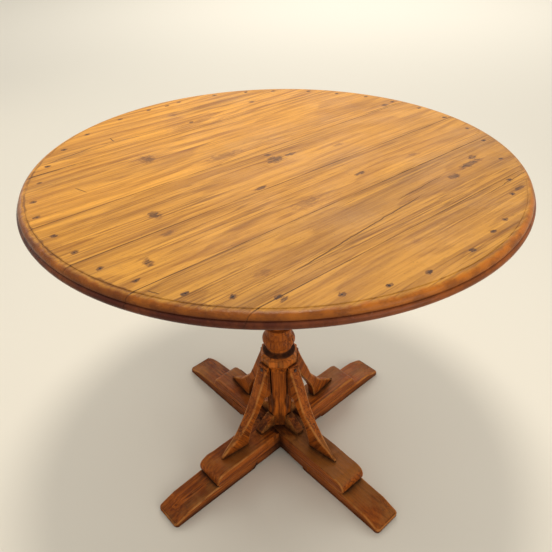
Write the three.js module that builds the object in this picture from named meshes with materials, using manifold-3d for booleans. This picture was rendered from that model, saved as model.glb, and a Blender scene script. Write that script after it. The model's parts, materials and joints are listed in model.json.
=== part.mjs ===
// Round pedestal table: a plank top on a crossed bearer frame, a turned and
// eight-sided column, four curved ribs and a half-lapped cross of beams.
// Millimetres, +Z up, origin on the floor under the middle of the table.

import * as THREE from "three";
import { mergeVertices } from "three/addons/utils/BufferGeometryUtils.js";
import Module from "manifold-3d";

const wasm = await Module();
wasm.setup();

// ---------------------------------------------------------------- driving dimensions

const TABLE_HEIGHT = 750;
const FIT_GAP = 0.3; // between pieces that touch
const ARM_TURN = 45; // degrees from +X to the first arm of the base
const GRAIN_TURN = 42.5; // degrees from +X to the grain of the top

// Top: planks, a ring of segments under their rim, and two battens across them.
const TOP_RADIUS = 447;
const TOP_THICKNESS = 25;
const PLANK_COUNT = 6;
const PLANK_JOINT_SHARES = [-0.709, -0.418, -0.172, 0.123, 0.528]; // of the radius, across the grain
const RIM_WIDTH = 16; // moulded part of the rim
const RIM_QUIRK = 1.6; // step down from the flat of the top to the moulding
const RIM_BEAD = 6.5; // radius of the bead along the lower half of the rim
const RIM_SEGMENTS = 96;

const RING_INSET = 28; // from the edge of the top
const RING_WIDTH = 40;
const RING_THICKNESS = 18;
const RING_COUNT = 8;

const BATTEN_WIDTH = 60;
const BATTEN_SHARE = 0.481; // of the radius of the top, along the grain

// Head: two half-lapped bearers on a square block.
const BEARER_WIDTH = 58;
const BEARER_DEPTH = 40;
const BEARER_INSET = 19; // from the outside of the ring
const BEARER_TIP_DEPTH = 16;
const BEARER_TAPER = 150; // length of the sloping end

const HEAD_BLOCK_SIDE = 150;
const HEAD_BLOCK_THICKNESS = 38;
const HEAD_BLOCK_CHAMFER = 14;

// Base: lower and upper crosses of beams.
const BEAM_WIDTH = 70;
const LOWER_BEAM_HEIGHT = 31;
const LOWER_BEAM_REACH = 347;
const LOWER_SHOULDER_HEIGHT = 23; // where the gentle slope of the top turns into the steep one
const LOWER_TIP_HEIGHT = 10;
const LOWER_GENTLE_LENGTH = 110;
const LOWER_SLOPE_LENGTH = 42;
const LOWER_CORNER_RADIUS = 9; // in plan
const LOWER_RELIEF = 6; // hollow under the middle, so the four ends carry
const LOWER_RELIEF_REACH = 118;
const LOWER_RELIEF_RAMP = 5;

const UPPER_BEAM_WIDTH = 72;
const UPPER_BEAM_HEIGHT = 31;
const UPPER_BEAM_REACH = 236;
const UPPER_UNDER_SHIFT = 8; // the hand-made beams lie a little off centre, along their length
const UPPER_OVER_SHIFT = -8;
const UPPER_NOSE_LENGTH = 26;
const UPPER_NOSE_FOOT = 2; // how far the nose tucks back at its foot

// Column: tenon, eight-sided post, capital, ball, turned shaft, head tenon.
const POST_FACE_FOOT = 26; // axis to a broad face, at the foot
const POST_FACE_NECK = 31; // the same, under the capital
const POST_SEAT_FOOT = 29.3; // axis to a narrow face, which a rib or a strut meets
const POST_SEAT_NECK = 34;
const POST_LENGTH = 185.4; // from its foot to the capital
const CAPITAL_FACE = 40.5;
const CAPITAL_SEAT = 43.5;
const CAPITAL_FLARE = 24;
const CAPITAL_HEIGHT = 21;
const CAPITAL_BEVEL = 7;
const COLLAR_RADIUS = 37;
const COLLAR_HEIGHT = 5;
const BALL_RADIUS = 37;
const BALL_HALF_HEIGHT = 24;
const BALL_RISE = 33; // from the top of the capital to the middle of the ball
const NECK_RADIUS = 29;

const SHAFT_WAIST_RADIUS = 23;
const SHAFT_BELLY_RADIUS = 36;
const SHAFT_BELLY_SHARE = 0.3; // of the way up the vase
const SHAFT_HEAD_RADIUS = 40;
const TENON_SIDE = 34; // square tenon through both crosses
const HEAD_TENON_RADIUS = 19;
const TURNED_SEGMENTS = 40;

// Ribs and the short struts inside them.
const RIB_THICKNESS = 27;
const RIB_WEB_THICKNESS = 15;
const RIB_TOE_SHARE = 0.792; // distance of the tip of the foot, as a share of the upper beam's reach
const RIB_TOE_HEIGHT = 6;
const RIB_HEEL_SHARE = 0.466; // the same, for the inner end of the foot
const RIB_PROW_SHARE = 0.381; // the same, where the foot starts to narrow
const RIB_PROW_TIP_WIDTH = 5;
const RIB_HEAD_DEPTH = 7;
const RIB_WINDOW_HEIGHT = 105; // above the foot of the rib
const STRUT_THICKNESS = 20;
const STRUT_HEIGHT = 36;
const STRUT_TOE_SHARE = 0.305; // of the upper beam's reach
const STRUT_LIP = 8;

// Fastenings.
const RIB_PEG_RADIUS = 4;
const RIB_PEG_LENGTH = 34;
const RIB_PEG_DROP = 11; // below the head of the rib
const RIB_PEG_PROUD = 2;
const SCREW_RADIUS = 3;
const SCREW_HEAD_RADIUS = 6;
const SCREW_HEAD_THICKNESS = 3.5;
const BEAM_SCREW_DISTANCE = 88; // from the axis
const BEAM_SCREW_COVER = 13; // wood left over the tip
const HEAD_SCREW_OFFSET = 52;
const HEAD_SCREW_COVER = 17;
const WEDGE_THICKNESS = 5;
const WEDGE_HEIGHT = 26;

// ---------------------------------------------------------------- derived levels

const RING_OUTER_RADIUS = TOP_RADIUS - RING_INSET;
const BATTEN_OFFSET = TOP_RADIUS * BATTEN_SHARE;
const BEARER_REACH = RING_OUTER_RADIUS - BEARER_INSET;
const TOP_UNDERSIDE = TABLE_HEIGHT - TOP_THICKNESS;
const RING_UNDERSIDE = TOP_UNDERSIDE - FIT_GAP - RING_THICKNESS;
const BEARER_TOP = RING_UNDERSIDE - FIT_GAP;
const BEARER_UNDERSIDE = BEARER_TOP - BEARER_DEPTH;
const HEAD_BLOCK_TOP = BEARER_UNDERSIDE - FIT_GAP;
const HEAD_BLOCK_UNDERSIDE = HEAD_BLOCK_TOP - HEAD_BLOCK_THICKNESS;
const SHAFT_TOP = HEAD_BLOCK_UNDERSIDE - FIT_GAP;
const UPPER_BEAM_FOOT = LOWER_BEAM_HEIGHT + FIT_GAP;
const UPPER_BEAM_TOP = UPPER_BEAM_FOOT + UPPER_BEAM_HEIGHT;
const POST_FOOT = UPPER_BEAM_TOP + FIT_GAP;
const POST_NECK = POST_FOOT + POST_LENGTH;
const CAPITAL_FOOT = POST_NECK + CAPITAL_FLARE;
const CAPITAL_TOP = CAPITAL_FOOT + CAPITAL_HEIGHT;
const BALL_CENTRE = CAPITAL_TOP + BALL_RISE;
const TENON_FOOT = LOWER_RELIEF + 1;
const RIB_FOOT = UPPER_BEAM_TOP + FIT_GAP;
const RIB_HEAD = CAPITAL_FOOT - FIT_GAP;
const RIB_TOE = UPPER_BEAM_REACH * RIB_TOE_SHARE;
const RIB_INNER_HEEL = UPPER_BEAM_REACH * RIB_HEEL_SHARE;
const RIB_PROW_START = UPPER_BEAM_REACH * RIB_PROW_SHARE;
const RIB_WINDOW_TOP = RIB_FOOT + RIB_WINDOW_HEIGHT;
const RIB_PEG_HEIGHT = RIB_HEAD - RIB_PEG_DROP;
const STRUT_HEAD_HEIGHT = RIB_FOOT + STRUT_HEIGHT;
const STRUT_TOE = UPPER_BEAM_REACH * STRUT_TOE_SHARE;
const BEAM_SCREW_FOOT = LOWER_RELIEF + 1;
const BEAM_SCREW_LENGTH = UPPER_BEAM_TOP - BEAM_SCREW_COVER - BEAM_SCREW_FOOT;
const HEAD_SCREW_FOOT = HEAD_BLOCK_UNDERSIDE + 1;
const HEAD_SCREW_LENGTH = BEARER_TOP - HEAD_SCREW_COVER - HEAD_SCREW_FOOT;
const ARMS = [0, 90, 180, 270]; // turns of the four arms, from the first

// ---------------------------------------------------------------- materials

const WOODS = {
  plank: { color: 0xb5793a, roughness: 0.42 },
  hidden: { color: 0x7a4e2a, roughness: 0.7 },
  base: { color: 0x7d4320, roughness: 0.45 },
  column: { color: 0x7a3a1e, roughness: 0.4 },
  peg: { color: 0x3a2417, roughness: 0.6 },
};

function wood(kind) {
  return new THREE.MeshStandardMaterial({ ...WOODS[kind], metalness: 0 });
}

function iron() {
  return new THREE.MeshStandardMaterial({ color: 0x3b3632, roughness: 0.5, metalness: 0.9 });
}

// ---------------------------------------------------------------- solids

const radians = THREE.MathUtils.degToRad;

// A three.js geometry as a closed solid: vertices merged by place, slivers at the axis dropped.
function solid(geometry) {
  const bare = new THREE.BufferGeometry();
  bare.setAttribute("position", geometry.getAttribute("position"));
  bare.setIndex(geometry.index);
  const merged = mergeVertices(bare, 1e-4);
  const index = merged.index.array;
  const triangles = [];
  for (let i = 0; i < index.length; i += 3) {
    const [a, b, c] = index.slice(i, i + 3);
    if (a !== b && b !== c && c !== a) triangles.push(a, b, c);
  }
  return new wasm.Manifold(
    new wasm.Mesh({
      numProp: 3,
      vertProperties: new Float32Array(merged.getAttribute("position").array),
      triVerts: new Uint32Array(triangles),
    })
  );
}

// The solid back as a geometry with flat faces.
function geometryOf(body) {
  const mesh = body.getMesh();
  const geometry = new THREE.BufferGeometry();
  geometry.setAttribute("position", new THREE.BufferAttribute(new Float32Array(mesh.vertProperties), 3));
  geometry.setIndex(new THREE.BufferAttribute(new Uint32Array(mesh.triVerts), 1));
  geometry.computeVertexNormals();
  return geometry;
}

function piece(name, body, material, turn = 0) {
  const mesh = new THREE.Mesh(geometryOf(body), material);
  mesh.name = name;
  mesh.rotation.z = radians(turn);
  return mesh;
}

function outline(points) {
  return new THREE.Shape(points.map(([x, y]) => new THREE.Vector2(x, y)));
}

// A shape drawn in plan, standing from one height to another.
function standing(shape, low, high) {
  const settings = { depth: high - low, bevelEnabled: false, curveSegments: 8 };
  const geometry = new THREE.ExtrudeGeometry(shape, settings);
  geometry.translate(0, 0, low);
  return solid(geometry);
}

// A shape drawn from the side (distance from the axis, height), given a thickness about y = 0.
function sawn(shape, thickness) {
  const settings = { depth: thickness, bevelEnabled: false, curveSegments: 8 };
  const geometry = new THREE.ExtrudeGeometry(shape, settings);
  geometry.translate(0, 0, -thickness / 2);
  geometry.rotateX(Math.PI / 2);
  return solid(geometry);
}

function box(x, y, z, width, depth, height) {
  const geometry = new THREE.BoxGeometry(width, depth, height);
  geometry.translate(x, y, z);
  return solid(geometry);
}

// A profile of (radius, height) points turned about the z axis.
function turned(profile, segments = TURNED_SEGMENTS) {
  const geometry = new THREE.LatheGeometry(profile.map(([r, z]) => new THREE.Vector2(r, z)), segments);
  geometry.rotateX(Math.PI / 2);
  return solid(geometry);
}

// A four-sided post whose faces stand at the given distances from the axis.
function foursquare(profile, turn) {
  const corners = profile.map(([face, z]) => [face * Math.SQRT2, z]);
  const geometry = new THREE.LatheGeometry(corners.map(([r, z]) => new THREE.Vector2(r, z)), 4);
  geometry.rotateX(Math.PI / 2);
  geometry.rotateZ(radians(45 + turn));
  return solid(geometry);
}

// ---------------------------------------------------------------- top

function rimProfile() {
  const flatEdge = TOP_RADIUS - RIM_WIDTH;
  const thumb = { r: TOP_RADIUS - 4, z: TABLE_HEIGHT - TOP_THICKNESS + 2 * RIM_BEAD + 1 };
  const thumbTop = TABLE_HEIGHT - RIM_QUIRK;
  const beadCentre = { r: TOP_RADIUS - RIM_BEAD, z: TOP_UNDERSIDE + RIM_BEAD };
  const points = [[0, TOP_UNDERSIDE]];
  for (let step = 0; step <= 6; step += 1) {
    const angle = radians(-90 + 30 * step);
    points.push([beadCentre.r + RIM_BEAD * Math.cos(angle), beadCentre.z + RIM_BEAD * Math.sin(angle)]);
  }
  for (let step = 0; step <= 4; step += 1) {
    const angle = radians(22.5 * step);
    const r = flatEdge + 1 + (thumb.r - flatEdge - 1) * Math.cos(angle);
    points.push([r, thumb.z + (thumbTop - thumb.z) * Math.sin(angle)]);
  }
  points.push([flatEdge, TABLE_HEIGHT], [0, TABLE_HEIGHT]);
  return points;
}

function planks() {
  const disc = turned(rimProfile(), RIM_SEGMENTS);
  const joints = PLANK_JOINT_SHARES.map((share) => share * TOP_RADIUS);
  const edges = [-TOP_RADIUS - 1, ...joints, TOP_RADIUS + 1];
  const made = [];
  for (let i = 0; i < PLANK_COUNT; i += 1) {
    const low = edges[i] + FIT_GAP / 2;
    const high = edges[i + 1] - FIT_GAP / 2;
    const middle = TABLE_HEIGHT - TOP_THICKNESS / 2;
    const strip = box(0, (low + high) / 2, middle, 2 * TOP_RADIUS + 2, high - low, TOP_THICKNESS + 2);
    made.push(piece(`plank_${i + 1}`, disc.intersect(strip), wood("plank")));
  }
  return made;
}

function ringSegments() {
  const span = 360 / RING_COUNT;
  const shape = new THREE.Shape();
  const inner = RING_OUTER_RADIUS - RING_WIDTH;
  const half = radians(span / 2) - FIT_GAP / 2 / RING_OUTER_RADIUS;
  shape.absarc(0, 0, RING_OUTER_RADIUS, -half, half, false);
  shape.absarc(0, 0, inner, half, -half, true);
  const segment = standing(shape, RING_UNDERSIDE, RING_UNDERSIDE + RING_THICKNESS);
  const made = [];
  for (let i = 0; i < RING_COUNT; i += 1) {
    made.push(piece(`ring_segment_${i + 1}`, segment, wood("hidden"), span * (i + 0.5)));
  }
  return made;
}

function battens() {
  const inner = RING_OUTER_RADIUS - RING_WIDTH - FIT_GAP - 1;
  const farEdge = BATTEN_OFFSET + BATTEN_WIDTH / 2;
  const length = 2 * Math.sqrt(inner ** 2 - farEdge ** 2);
  const middle = RING_UNDERSIDE + RING_THICKNESS / 2;
  return [-1, 1].map((side) => {
    const body = box(side * BATTEN_OFFSET, 0, middle, BATTEN_WIDTH, length, RING_THICKNESS);
    return piece(side < 0 ? "batten_left" : "batten_right", body, wood("hidden"));
  });
}

// ---------------------------------------------------------------- head

function bearer(lapOnTop) {
  const low = BEARER_UNDERSIDE;
  const tip = BEARER_TOP - BEARER_TIP_DEPTH;
  const shape = outline([
    [-BEARER_REACH, tip], [-BEARER_REACH + BEARER_TAPER, low], [BEARER_REACH - BEARER_TAPER, low],
    [BEARER_REACH, tip], [BEARER_REACH, BEARER_TOP], [-BEARER_REACH, BEARER_TOP],
  ]);
  const middle = (BEARER_TOP + BEARER_UNDERSIDE) / 2;
  const lap = BEARER_WIDTH + 2 * FIT_GAP;
  const height = BEARER_DEPTH / 2 + 1 + FIT_GAP / 2;
  const side = lapOnTop ? 1 : -1;
  const notch = box(0, 0, middle + side * (height / 2 - FIT_GAP / 2), lap, BEARER_WIDTH + 2, height);
  return sawn(shape, BEARER_WIDTH).subtract(notch).subtract(headMortise()).subtract(headScrewHoles());
}

function headMortise() {
  const r = HEAD_TENON_RADIUS + FIT_GAP;
  return turned([[0, SHAFT_TOP - 1], [r, SHAFT_TOP - 1], [r, BEARER_TOP + 1], [0, BEARER_TOP + 1]], 32);
}

function headBlock() {
  const half = HEAD_BLOCK_SIDE / 2;
  const body = foursquare([
    [0, HEAD_BLOCK_UNDERSIDE], [half - HEAD_BLOCK_CHAMFER, HEAD_BLOCK_UNDERSIDE],
    [half, HEAD_BLOCK_UNDERSIDE + HEAD_BLOCK_CHAMFER], [half, HEAD_BLOCK_TOP], [0, HEAD_BLOCK_TOP],
  ], 0);
  return body.subtract(headMortise()).subtract(headScrewHoles());
}

// ---------------------------------------------------------------- screws and pegs

// A screw standing on its head, its head's underside face at z = 0.
function screwProfile(length, slack) {
  const head = SCREW_HEAD_RADIUS + slack;
  const shank = SCREW_RADIUS + slack;
  const tip = length + slack;
  return [[0, -slack], [head, -slack], [head, 1], [shank, SCREW_HEAD_THICKNESS + slack], [shank, tip], [0, tip]];
}

function screwAt(x, y, z, length, slack) {
  return turned(screwProfile(length, slack), 16).translate([x, y, z]);
}

function headScrewPlaces() {
  return [[1, 0], [0, 1], [-1, 0], [0, -1]].map(([x, y]) => [x * HEAD_SCREW_OFFSET, y * HEAD_SCREW_OFFSET]);
}

// A screw's hole, open below its head.
function screwHole(x, y, z, length) {
  const r = SCREW_HEAD_RADIUS + FIT_GAP;
  const mouth = turned([[0, -4], [r, -4], [r, 0], [0, 0]], 16).translate([x, y, z]);
  return screwAt(x, y, z, length, FIT_GAP).add(mouth);
}

function headScrewHoles() {
  const holes = headScrewPlaces().map(([x, y]) => screwHole(x, y, HEAD_SCREW_FOOT, HEAD_SCREW_LENGTH));
  return holes.reduce((all, hole) => all.add(hole));
}

function headScrews() {
  return headScrewPlaces().map(([x, y], i) => {
    const body = screwAt(x, y, HEAD_SCREW_FOOT, HEAD_SCREW_LENGTH, 0);
    return piece(`head_screw_${i + 1}`, body, iron());
  });
}

function beamScrewHoles() {
  const [far, near] = [1, -1].map((side) => side * BEAM_SCREW_DISTANCE);
  const hole = (x) => screwHole(x, 0, BEAM_SCREW_FOOT, BEAM_SCREW_LENGTH);
  return hole(far).add(hole(near));
}

function beamScrews() {
  return ARMS.map((turn, i) => {
    const body = screwAt(BEAM_SCREW_DISTANCE, 0, BEAM_SCREW_FOOT, BEAM_SCREW_LENGTH, 0);
    return piece(`beam_screw_${i + 1}`, body, iron(), turn);
  });
}

// A round peg driven level through a rib into the post, its head just proud of the rib.
function ribPegBody(slack) {
  const distance = (p) => Math.abs(p.y - RIB_PEG_HEIGHT);
  const at = ribOuterCurve().getPoints(60).reduce((best, p) => (distance(p) < distance(best) ? p : best));
  const radius = RIB_PEG_RADIUS + slack;
  const length = RIB_PEG_LENGTH + 2 * slack;
  const geometry = new THREE.CylinderGeometry(radius, radius, length, 12);
  geometry.rotateZ(Math.PI / 2);
  geometry.translate(at.x + RIB_PEG_PROUD - RIB_PEG_LENGTH / 2, 0, RIB_PEG_HEIGHT);
  return solid(geometry);
}

function ribPegs() {
  return ARMS.map((turn, i) => piece(`rib_peg_${i + 1}`, ribPegBody(0), wood("peg"), turn));
}

// ---------------------------------------------------------------- base

function mortise() {
  const side = TENON_SIDE + 2 * FIT_GAP;
  return box(0, 0, UPPER_BEAM_TOP / 2, side, side, UPPER_BEAM_TOP + 2);
}

function lapNotch(low, high, width, lapOnTop) {
  const middle = (low + high) / 2;
  const height = (high - low) / 2 + 1 + FIT_GAP / 2;
  const side = lapOnTop ? 1 : -1;
  const z = middle + side * (height / 2 - FIT_GAP / 2);
  return box(0, 0, z, width + 2 * FIT_GAP, width + 2, height);
}

function lowerBeam(lapOnTop) {
  const reach = LOWER_BEAM_REACH;
  const side = [
    [LOWER_RELIEF_REACH - LOWER_RELIEF_RAMP, LOWER_RELIEF], [LOWER_RELIEF_REACH, 0], [reach - 2, 0],
    [reach, 2], [reach, LOWER_TIP_HEIGHT - 3], [reach - 3, LOWER_TIP_HEIGHT],
    [reach - LOWER_SLOPE_LENGTH, LOWER_SHOULDER_HEIGHT],
    [reach - LOWER_SLOPE_LENGTH - LOWER_GENTLE_LENGTH, LOWER_BEAM_HEIGHT],
  ];
  const mirrored = side.map(([x, z]) => [-x, z]).reverse();
  const profile = sawn(outline([...side, ...mirrored]), BEAM_WIDTH);
  const half = BEAM_WIDTH / 2;
  const r = LOWER_CORNER_RADIUS;
  const plan = new THREE.Shape();
  plan.moveTo(-reach + r, -half);
  plan.lineTo(reach - r, -half);
  plan.absarc(reach - r, -half + r, r, -Math.PI / 2, 0, false);
  plan.absarc(reach - r, half - r, r, 0, Math.PI / 2, false);
  plan.absarc(-reach + r, half - r, r, Math.PI / 2, Math.PI, false);
  plan.absarc(-reach + r, -half + r, r, Math.PI, 1.5 * Math.PI, false);
  let body = profile.intersect(standing(plan, -1, LOWER_BEAM_HEIGHT + 1));
  body = body.subtract(lapNotch(LOWER_RELIEF, LOWER_BEAM_HEIGHT, BEAM_WIDTH, lapOnTop)).subtract(mortise());
  return body.subtract(beamScrewHoles());
}

// The rounded nose of an upper beam, drawn from the side, its foot first.
function upperNose(reach) {
  const low = UPPER_BEAM_FOOT;
  const high = UPPER_BEAM_TOP;
  const curve = new THREE.CubicBezierCurve(
    new THREE.Vector2(reach - UPPER_NOSE_FOOT, low),
    new THREE.Vector2(reach + 2, low + 0.45 * UPPER_BEAM_HEIGHT),
    new THREE.Vector2(reach - 3, high),
    new THREE.Vector2(reach - UPPER_NOSE_LENGTH, high)
  );
  return curve.getPoints(8).map((p) => [p.x, p.y]);
}

function upperBeam(lapOnTop, shift) {
  const end = upperNose(UPPER_BEAM_REACH + shift);
  const otherEnd = upperNose(UPPER_BEAM_REACH - shift).map(([x, z]) => [-x, z]).reverse();
  const notch = lapNotch(UPPER_BEAM_FOOT, UPPER_BEAM_TOP, UPPER_BEAM_WIDTH, lapOnTop);
  const body = sawn(outline([...end, ...otherEnd]), UPPER_BEAM_WIDTH).subtract(notch).subtract(mortise());
  return body.subtract(beamScrewHoles());
}

// Distance from the axis to the narrow faces of the post, at a height.
function seatAt(z) {
  const share = (z - POST_FOOT) / (POST_NECK - POST_FOOT);
  return POST_SEAT_FOOT + (POST_SEAT_NECK - POST_SEAT_FOOT) * share;
}

// Outer edge of a rib, from its toe to its head, as distance from the axis and height.
function ribOuterCurve() {
  const rise = RIB_HEAD - RIB_FOOT;
  const run = RIB_TOE - POST_SEAT_NECK;
  const at = (out, up) => new THREE.Vector2(POST_SEAT_NECK + run * out, RIB_FOOT + rise * up);
  return new THREE.SplineCurve([
    new THREE.Vector2(RIB_TOE, RIB_FOOT + RIB_TOE_HEIGHT), at(0.85, 0.11), at(0.72, 0.17),
    at(0.61, 0.255), at(0.51, 0.34), at(0.41, 0.445), at(0.325, 0.59), at(0.25, 0.73),
    at(0.19, 0.83), at(0.14, 0.92), at(0.1, 1),
  ]);
}

// Inner edge of a rib, from its head down to its heel.
function ribInnerCurve() {
  const head = ribOuterCurve().getPoint(1).x - RIB_HEAD_DEPTH;
  const run = RIB_INNER_HEEL - head;
  const rise = RIB_HEAD - RIB_FOOT;
  const at = (out, up) => new THREE.Vector2(head + run * out, RIB_FOOT + rise * up);
  return new THREE.SplineCurve([
    at(0, 1), at(0.045, 0.815), at(0.12, 0.67), at(0.29, 0.53), at(0.52, 0.41), at(0.78, 0.265),
    at(0.94, 0.13), at(1, 0),
  ]);
}

// A curved limb, and a thinner web that fills its upper part back to the post.
function rib() {
  const inner = ribInnerCurve().getPoints(14);
  const outer = ribOuterCurve().getPoints(20);
  const toe = new THREE.Vector2(RIB_TOE, RIB_FOOT);
  const limb = sawn(new THREE.Shape([toe, ...outer, ...inner]), RIB_THICKNESS);
  const above = inner.filter((p) => p.y > RIB_WINDOW_TOP).reverse();
  const back = above.map((p) => new THREE.Vector2(p.x + RIB_HEAD_DEPTH / 2, p.y - 1));
  const windowTop = new THREE.Vector2(0, RIB_WINDOW_TOP);
  const webTop = new THREE.Vector2(0, RIB_HEAD - 1);
  const web = sawn(new THREE.Shape([windowTop, ...back, webTop]), RIB_WEB_THICKNESS);
  const half = RIB_THICKNESS / 2;
  const prow = standing(outline([
    [0, -half - 1], [RIB_PROW_START, -half], [RIB_TOE + 1, -RIB_PROW_TIP_WIDTH / 2],
    [RIB_TOE + 1, RIB_PROW_TIP_WIDTH / 2], [RIB_PROW_START, half], [0, half + 1],
  ]), RIB_FOOT - 1, RIB_HEAD + 1);
  return limb.add(web).intersect(prow).subtract(post(FIT_GAP)).subtract(ribPegBody(FIT_GAP));
}

function strut() {
  const foot = RIB_FOOT;
  const face = seatAt(STRUT_HEAD_HEIGHT) + FIT_GAP;
  const slope = new THREE.QuadraticBezierCurve(
    new THREE.Vector2(STRUT_TOE, foot + STRUT_LIP), new THREE.Vector2(STRUT_TOE - 22, foot + 26),
    new THREE.Vector2(face + 4, STRUT_HEAD_HEIGHT)
  ).getPoints(6);
  const start = new THREE.Vector2(0, foot);
  const end = new THREE.Vector2(0, STRUT_HEAD_HEIGHT);
  const shape = new THREE.Shape([start, new THREE.Vector2(STRUT_TOE, foot), ...slope, end]);
  return sawn(shape, STRUT_THICKNESS).subtract(post(FIT_GAP));
}

// ---------------------------------------------------------------- column

// The eight-sided post and its capital, swollen by a clearance where it is used as a cutter.
function post(slack) {
  const profile = (foot, neck, capital) => [
    [0, POST_FOOT - slack], [foot + slack, POST_FOOT - slack], [neck + slack, POST_NECK],
    [neck + (capital - neck) * 0.3 + slack, POST_NECK + CAPITAL_FLARE * 0.5],
    [capital + slack, CAPITAL_FOOT], [capital + slack, CAPITAL_TOP - CAPITAL_BEVEL],
    [capital - CAPITAL_BEVEL + slack, CAPITAL_TOP], [0, CAPITAL_TOP],
  ];
  const narrow = foursquare(profile(POST_SEAT_FOOT, POST_SEAT_NECK, CAPITAL_SEAT), 0);
  const broad = foursquare(profile(POST_FACE_FOOT, POST_FACE_NECK, CAPITAL_FACE), 45);
  return narrow.intersect(broad);
}

function ballArc() {
  const bottom = Math.acos(NECK_RADIUS / BALL_RADIUS);
  const points = [];
  for (let step = 0; step <= 10; step += 1) {
    const angle = -bottom + (2 * bottom * step) / 10;
    points.push([BALL_RADIUS * Math.cos(angle), BALL_CENTRE + BALL_HALF_HEIGHT * Math.sin(angle)]);
  }
  return points;
}

function shaftProfile() {
  const vaseFoot = BALL_CENTRE + 44;
  const vaseTop = SHAFT_TOP - 56;
  const bellyHeight = vaseFoot + (vaseTop - vaseFoot) * SHAFT_BELLY_SHARE;
  const vase = new THREE.SplineCurve([
    new THREE.Vector2(SHAFT_WAIST_RADIUS, vaseFoot),
    new THREE.Vector2(SHAFT_BELLY_RADIUS, bellyHeight),
    new THREE.Vector2(SHAFT_WAIST_RADIUS + 2, (bellyHeight + vaseTop) / 2 + 12),
    new THREE.Vector2(SHAFT_WAIST_RADIUS, vaseTop),
  ]).getPoints(10).map((p) => [p.x, p.y]);
  const ring = SHAFT_WAIST_RADIUS + 8;
  const ringFoot = BALL_CENTRE + 28;
  return [
    [0, CAPITAL_TOP - 2], [COLLAR_RADIUS, CAPITAL_TOP - 2], [COLLAR_RADIUS, CAPITAL_TOP + 1],
    [COLLAR_RADIUS - 2, CAPITAL_TOP + COLLAR_HEIGHT], [NECK_RADIUS, CAPITAL_TOP + COLLAR_HEIGHT + 2],
    ...ballArc(),
    [NECK_RADIUS - 2, ringFoot], [ring, ringFoot + 2], [ring, ringFoot + 8],
    [SHAFT_WAIST_RADIUS + 1, ringFoot + 11],
    ...vase,
    [ring, SHAFT_TOP - 52], [ring, SHAFT_TOP - 44], [SHAFT_WAIST_RADIUS + 3, SHAFT_TOP - 40],
    [SHAFT_WAIST_RADIUS + 6, SHAFT_TOP - 22], [SHAFT_HEAD_RADIUS, SHAFT_TOP - 12],
    [SHAFT_HEAD_RADIUS, SHAFT_TOP], [HEAD_TENON_RADIUS, SHAFT_TOP], [HEAD_TENON_RADIUS, BEARER_TOP],
    [0, BEARER_TOP],
  ];
}

function column() {
  const height = POST_FOOT - TENON_FOOT + 2;
  const tenon = box(0, 0, TENON_FOOT + height / 2, TENON_SIDE, TENON_SIDE, height);
  const slotWidth = WEDGE_THICKNESS + 2 * FIT_GAP;
  const slot = box(0, 0, TENON_FOOT + WEDGE_HEIGHT / 2, slotWidth, TENON_SIDE + 2, WEDGE_HEIGHT + 2);
  let body = post(0).add(turned(shaftProfile())).add(tenon.subtract(slot));
  for (const turn of ARMS) body = body.subtract(ribPegBody(FIT_GAP).rotate([0, 0, turn]));
  return body;
}

function tenonWedge() {
  return box(0, 0, TENON_FOOT + WEDGE_HEIGHT / 2, WEDGE_THICKNESS, TENON_SIDE, WEDGE_HEIGHT);
}

// ---------------------------------------------------------------- assembly

const top = new THREE.Group();
top.rotation.z = radians(GRAIN_TURN);
top.add(...planks(), ...ringSegments(), ...battens());

const head = new THREE.Group();
head.rotation.z = radians(ARM_TURN);
head.add(
  piece("bearer_under", bearer(true), wood("hidden")),
  piece("bearer_over", bearer(false), wood("hidden"), 90),
  piece("head_block", headBlock(), wood("hidden")),
  ...headScrews()
);

const base = new THREE.Group();
base.rotation.z = radians(ARM_TURN);
base.add(
  piece("column", column(), wood("column")),
  piece("tenon_wedge", tenonWedge(), wood("peg")),
  piece("lower_beam_under", lowerBeam(true), wood("base")),
  piece("lower_beam_over", lowerBeam(false), wood("base"), 90),
  piece("upper_beam_under", upperBeam(true, UPPER_UNDER_SHIFT), wood("base")),
  piece("upper_beam_over", upperBeam(false, UPPER_OVER_SHIFT), wood("base"), 90),
  ...ARMS.map((turn, i) => piece(`rib_${i + 1}`, rib(), wood("base"), turn)),
  ...ARMS.map((turn, i) => piece(`strut_${i + 1}`, strut(), wood("base"), turn)),
  ...ribPegs(),
  ...beamScrews()
);

const table = new THREE.Group();
table.add(top, head, base);

export default table;
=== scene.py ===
"""Round pedestal table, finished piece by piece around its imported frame.

Lengths are metres and angles degrees unless a name says otherwise. The table stands on the floor with
its column on the z axis. "Along" and "across" are measured from the grain of a board or a timber.
"""

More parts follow.
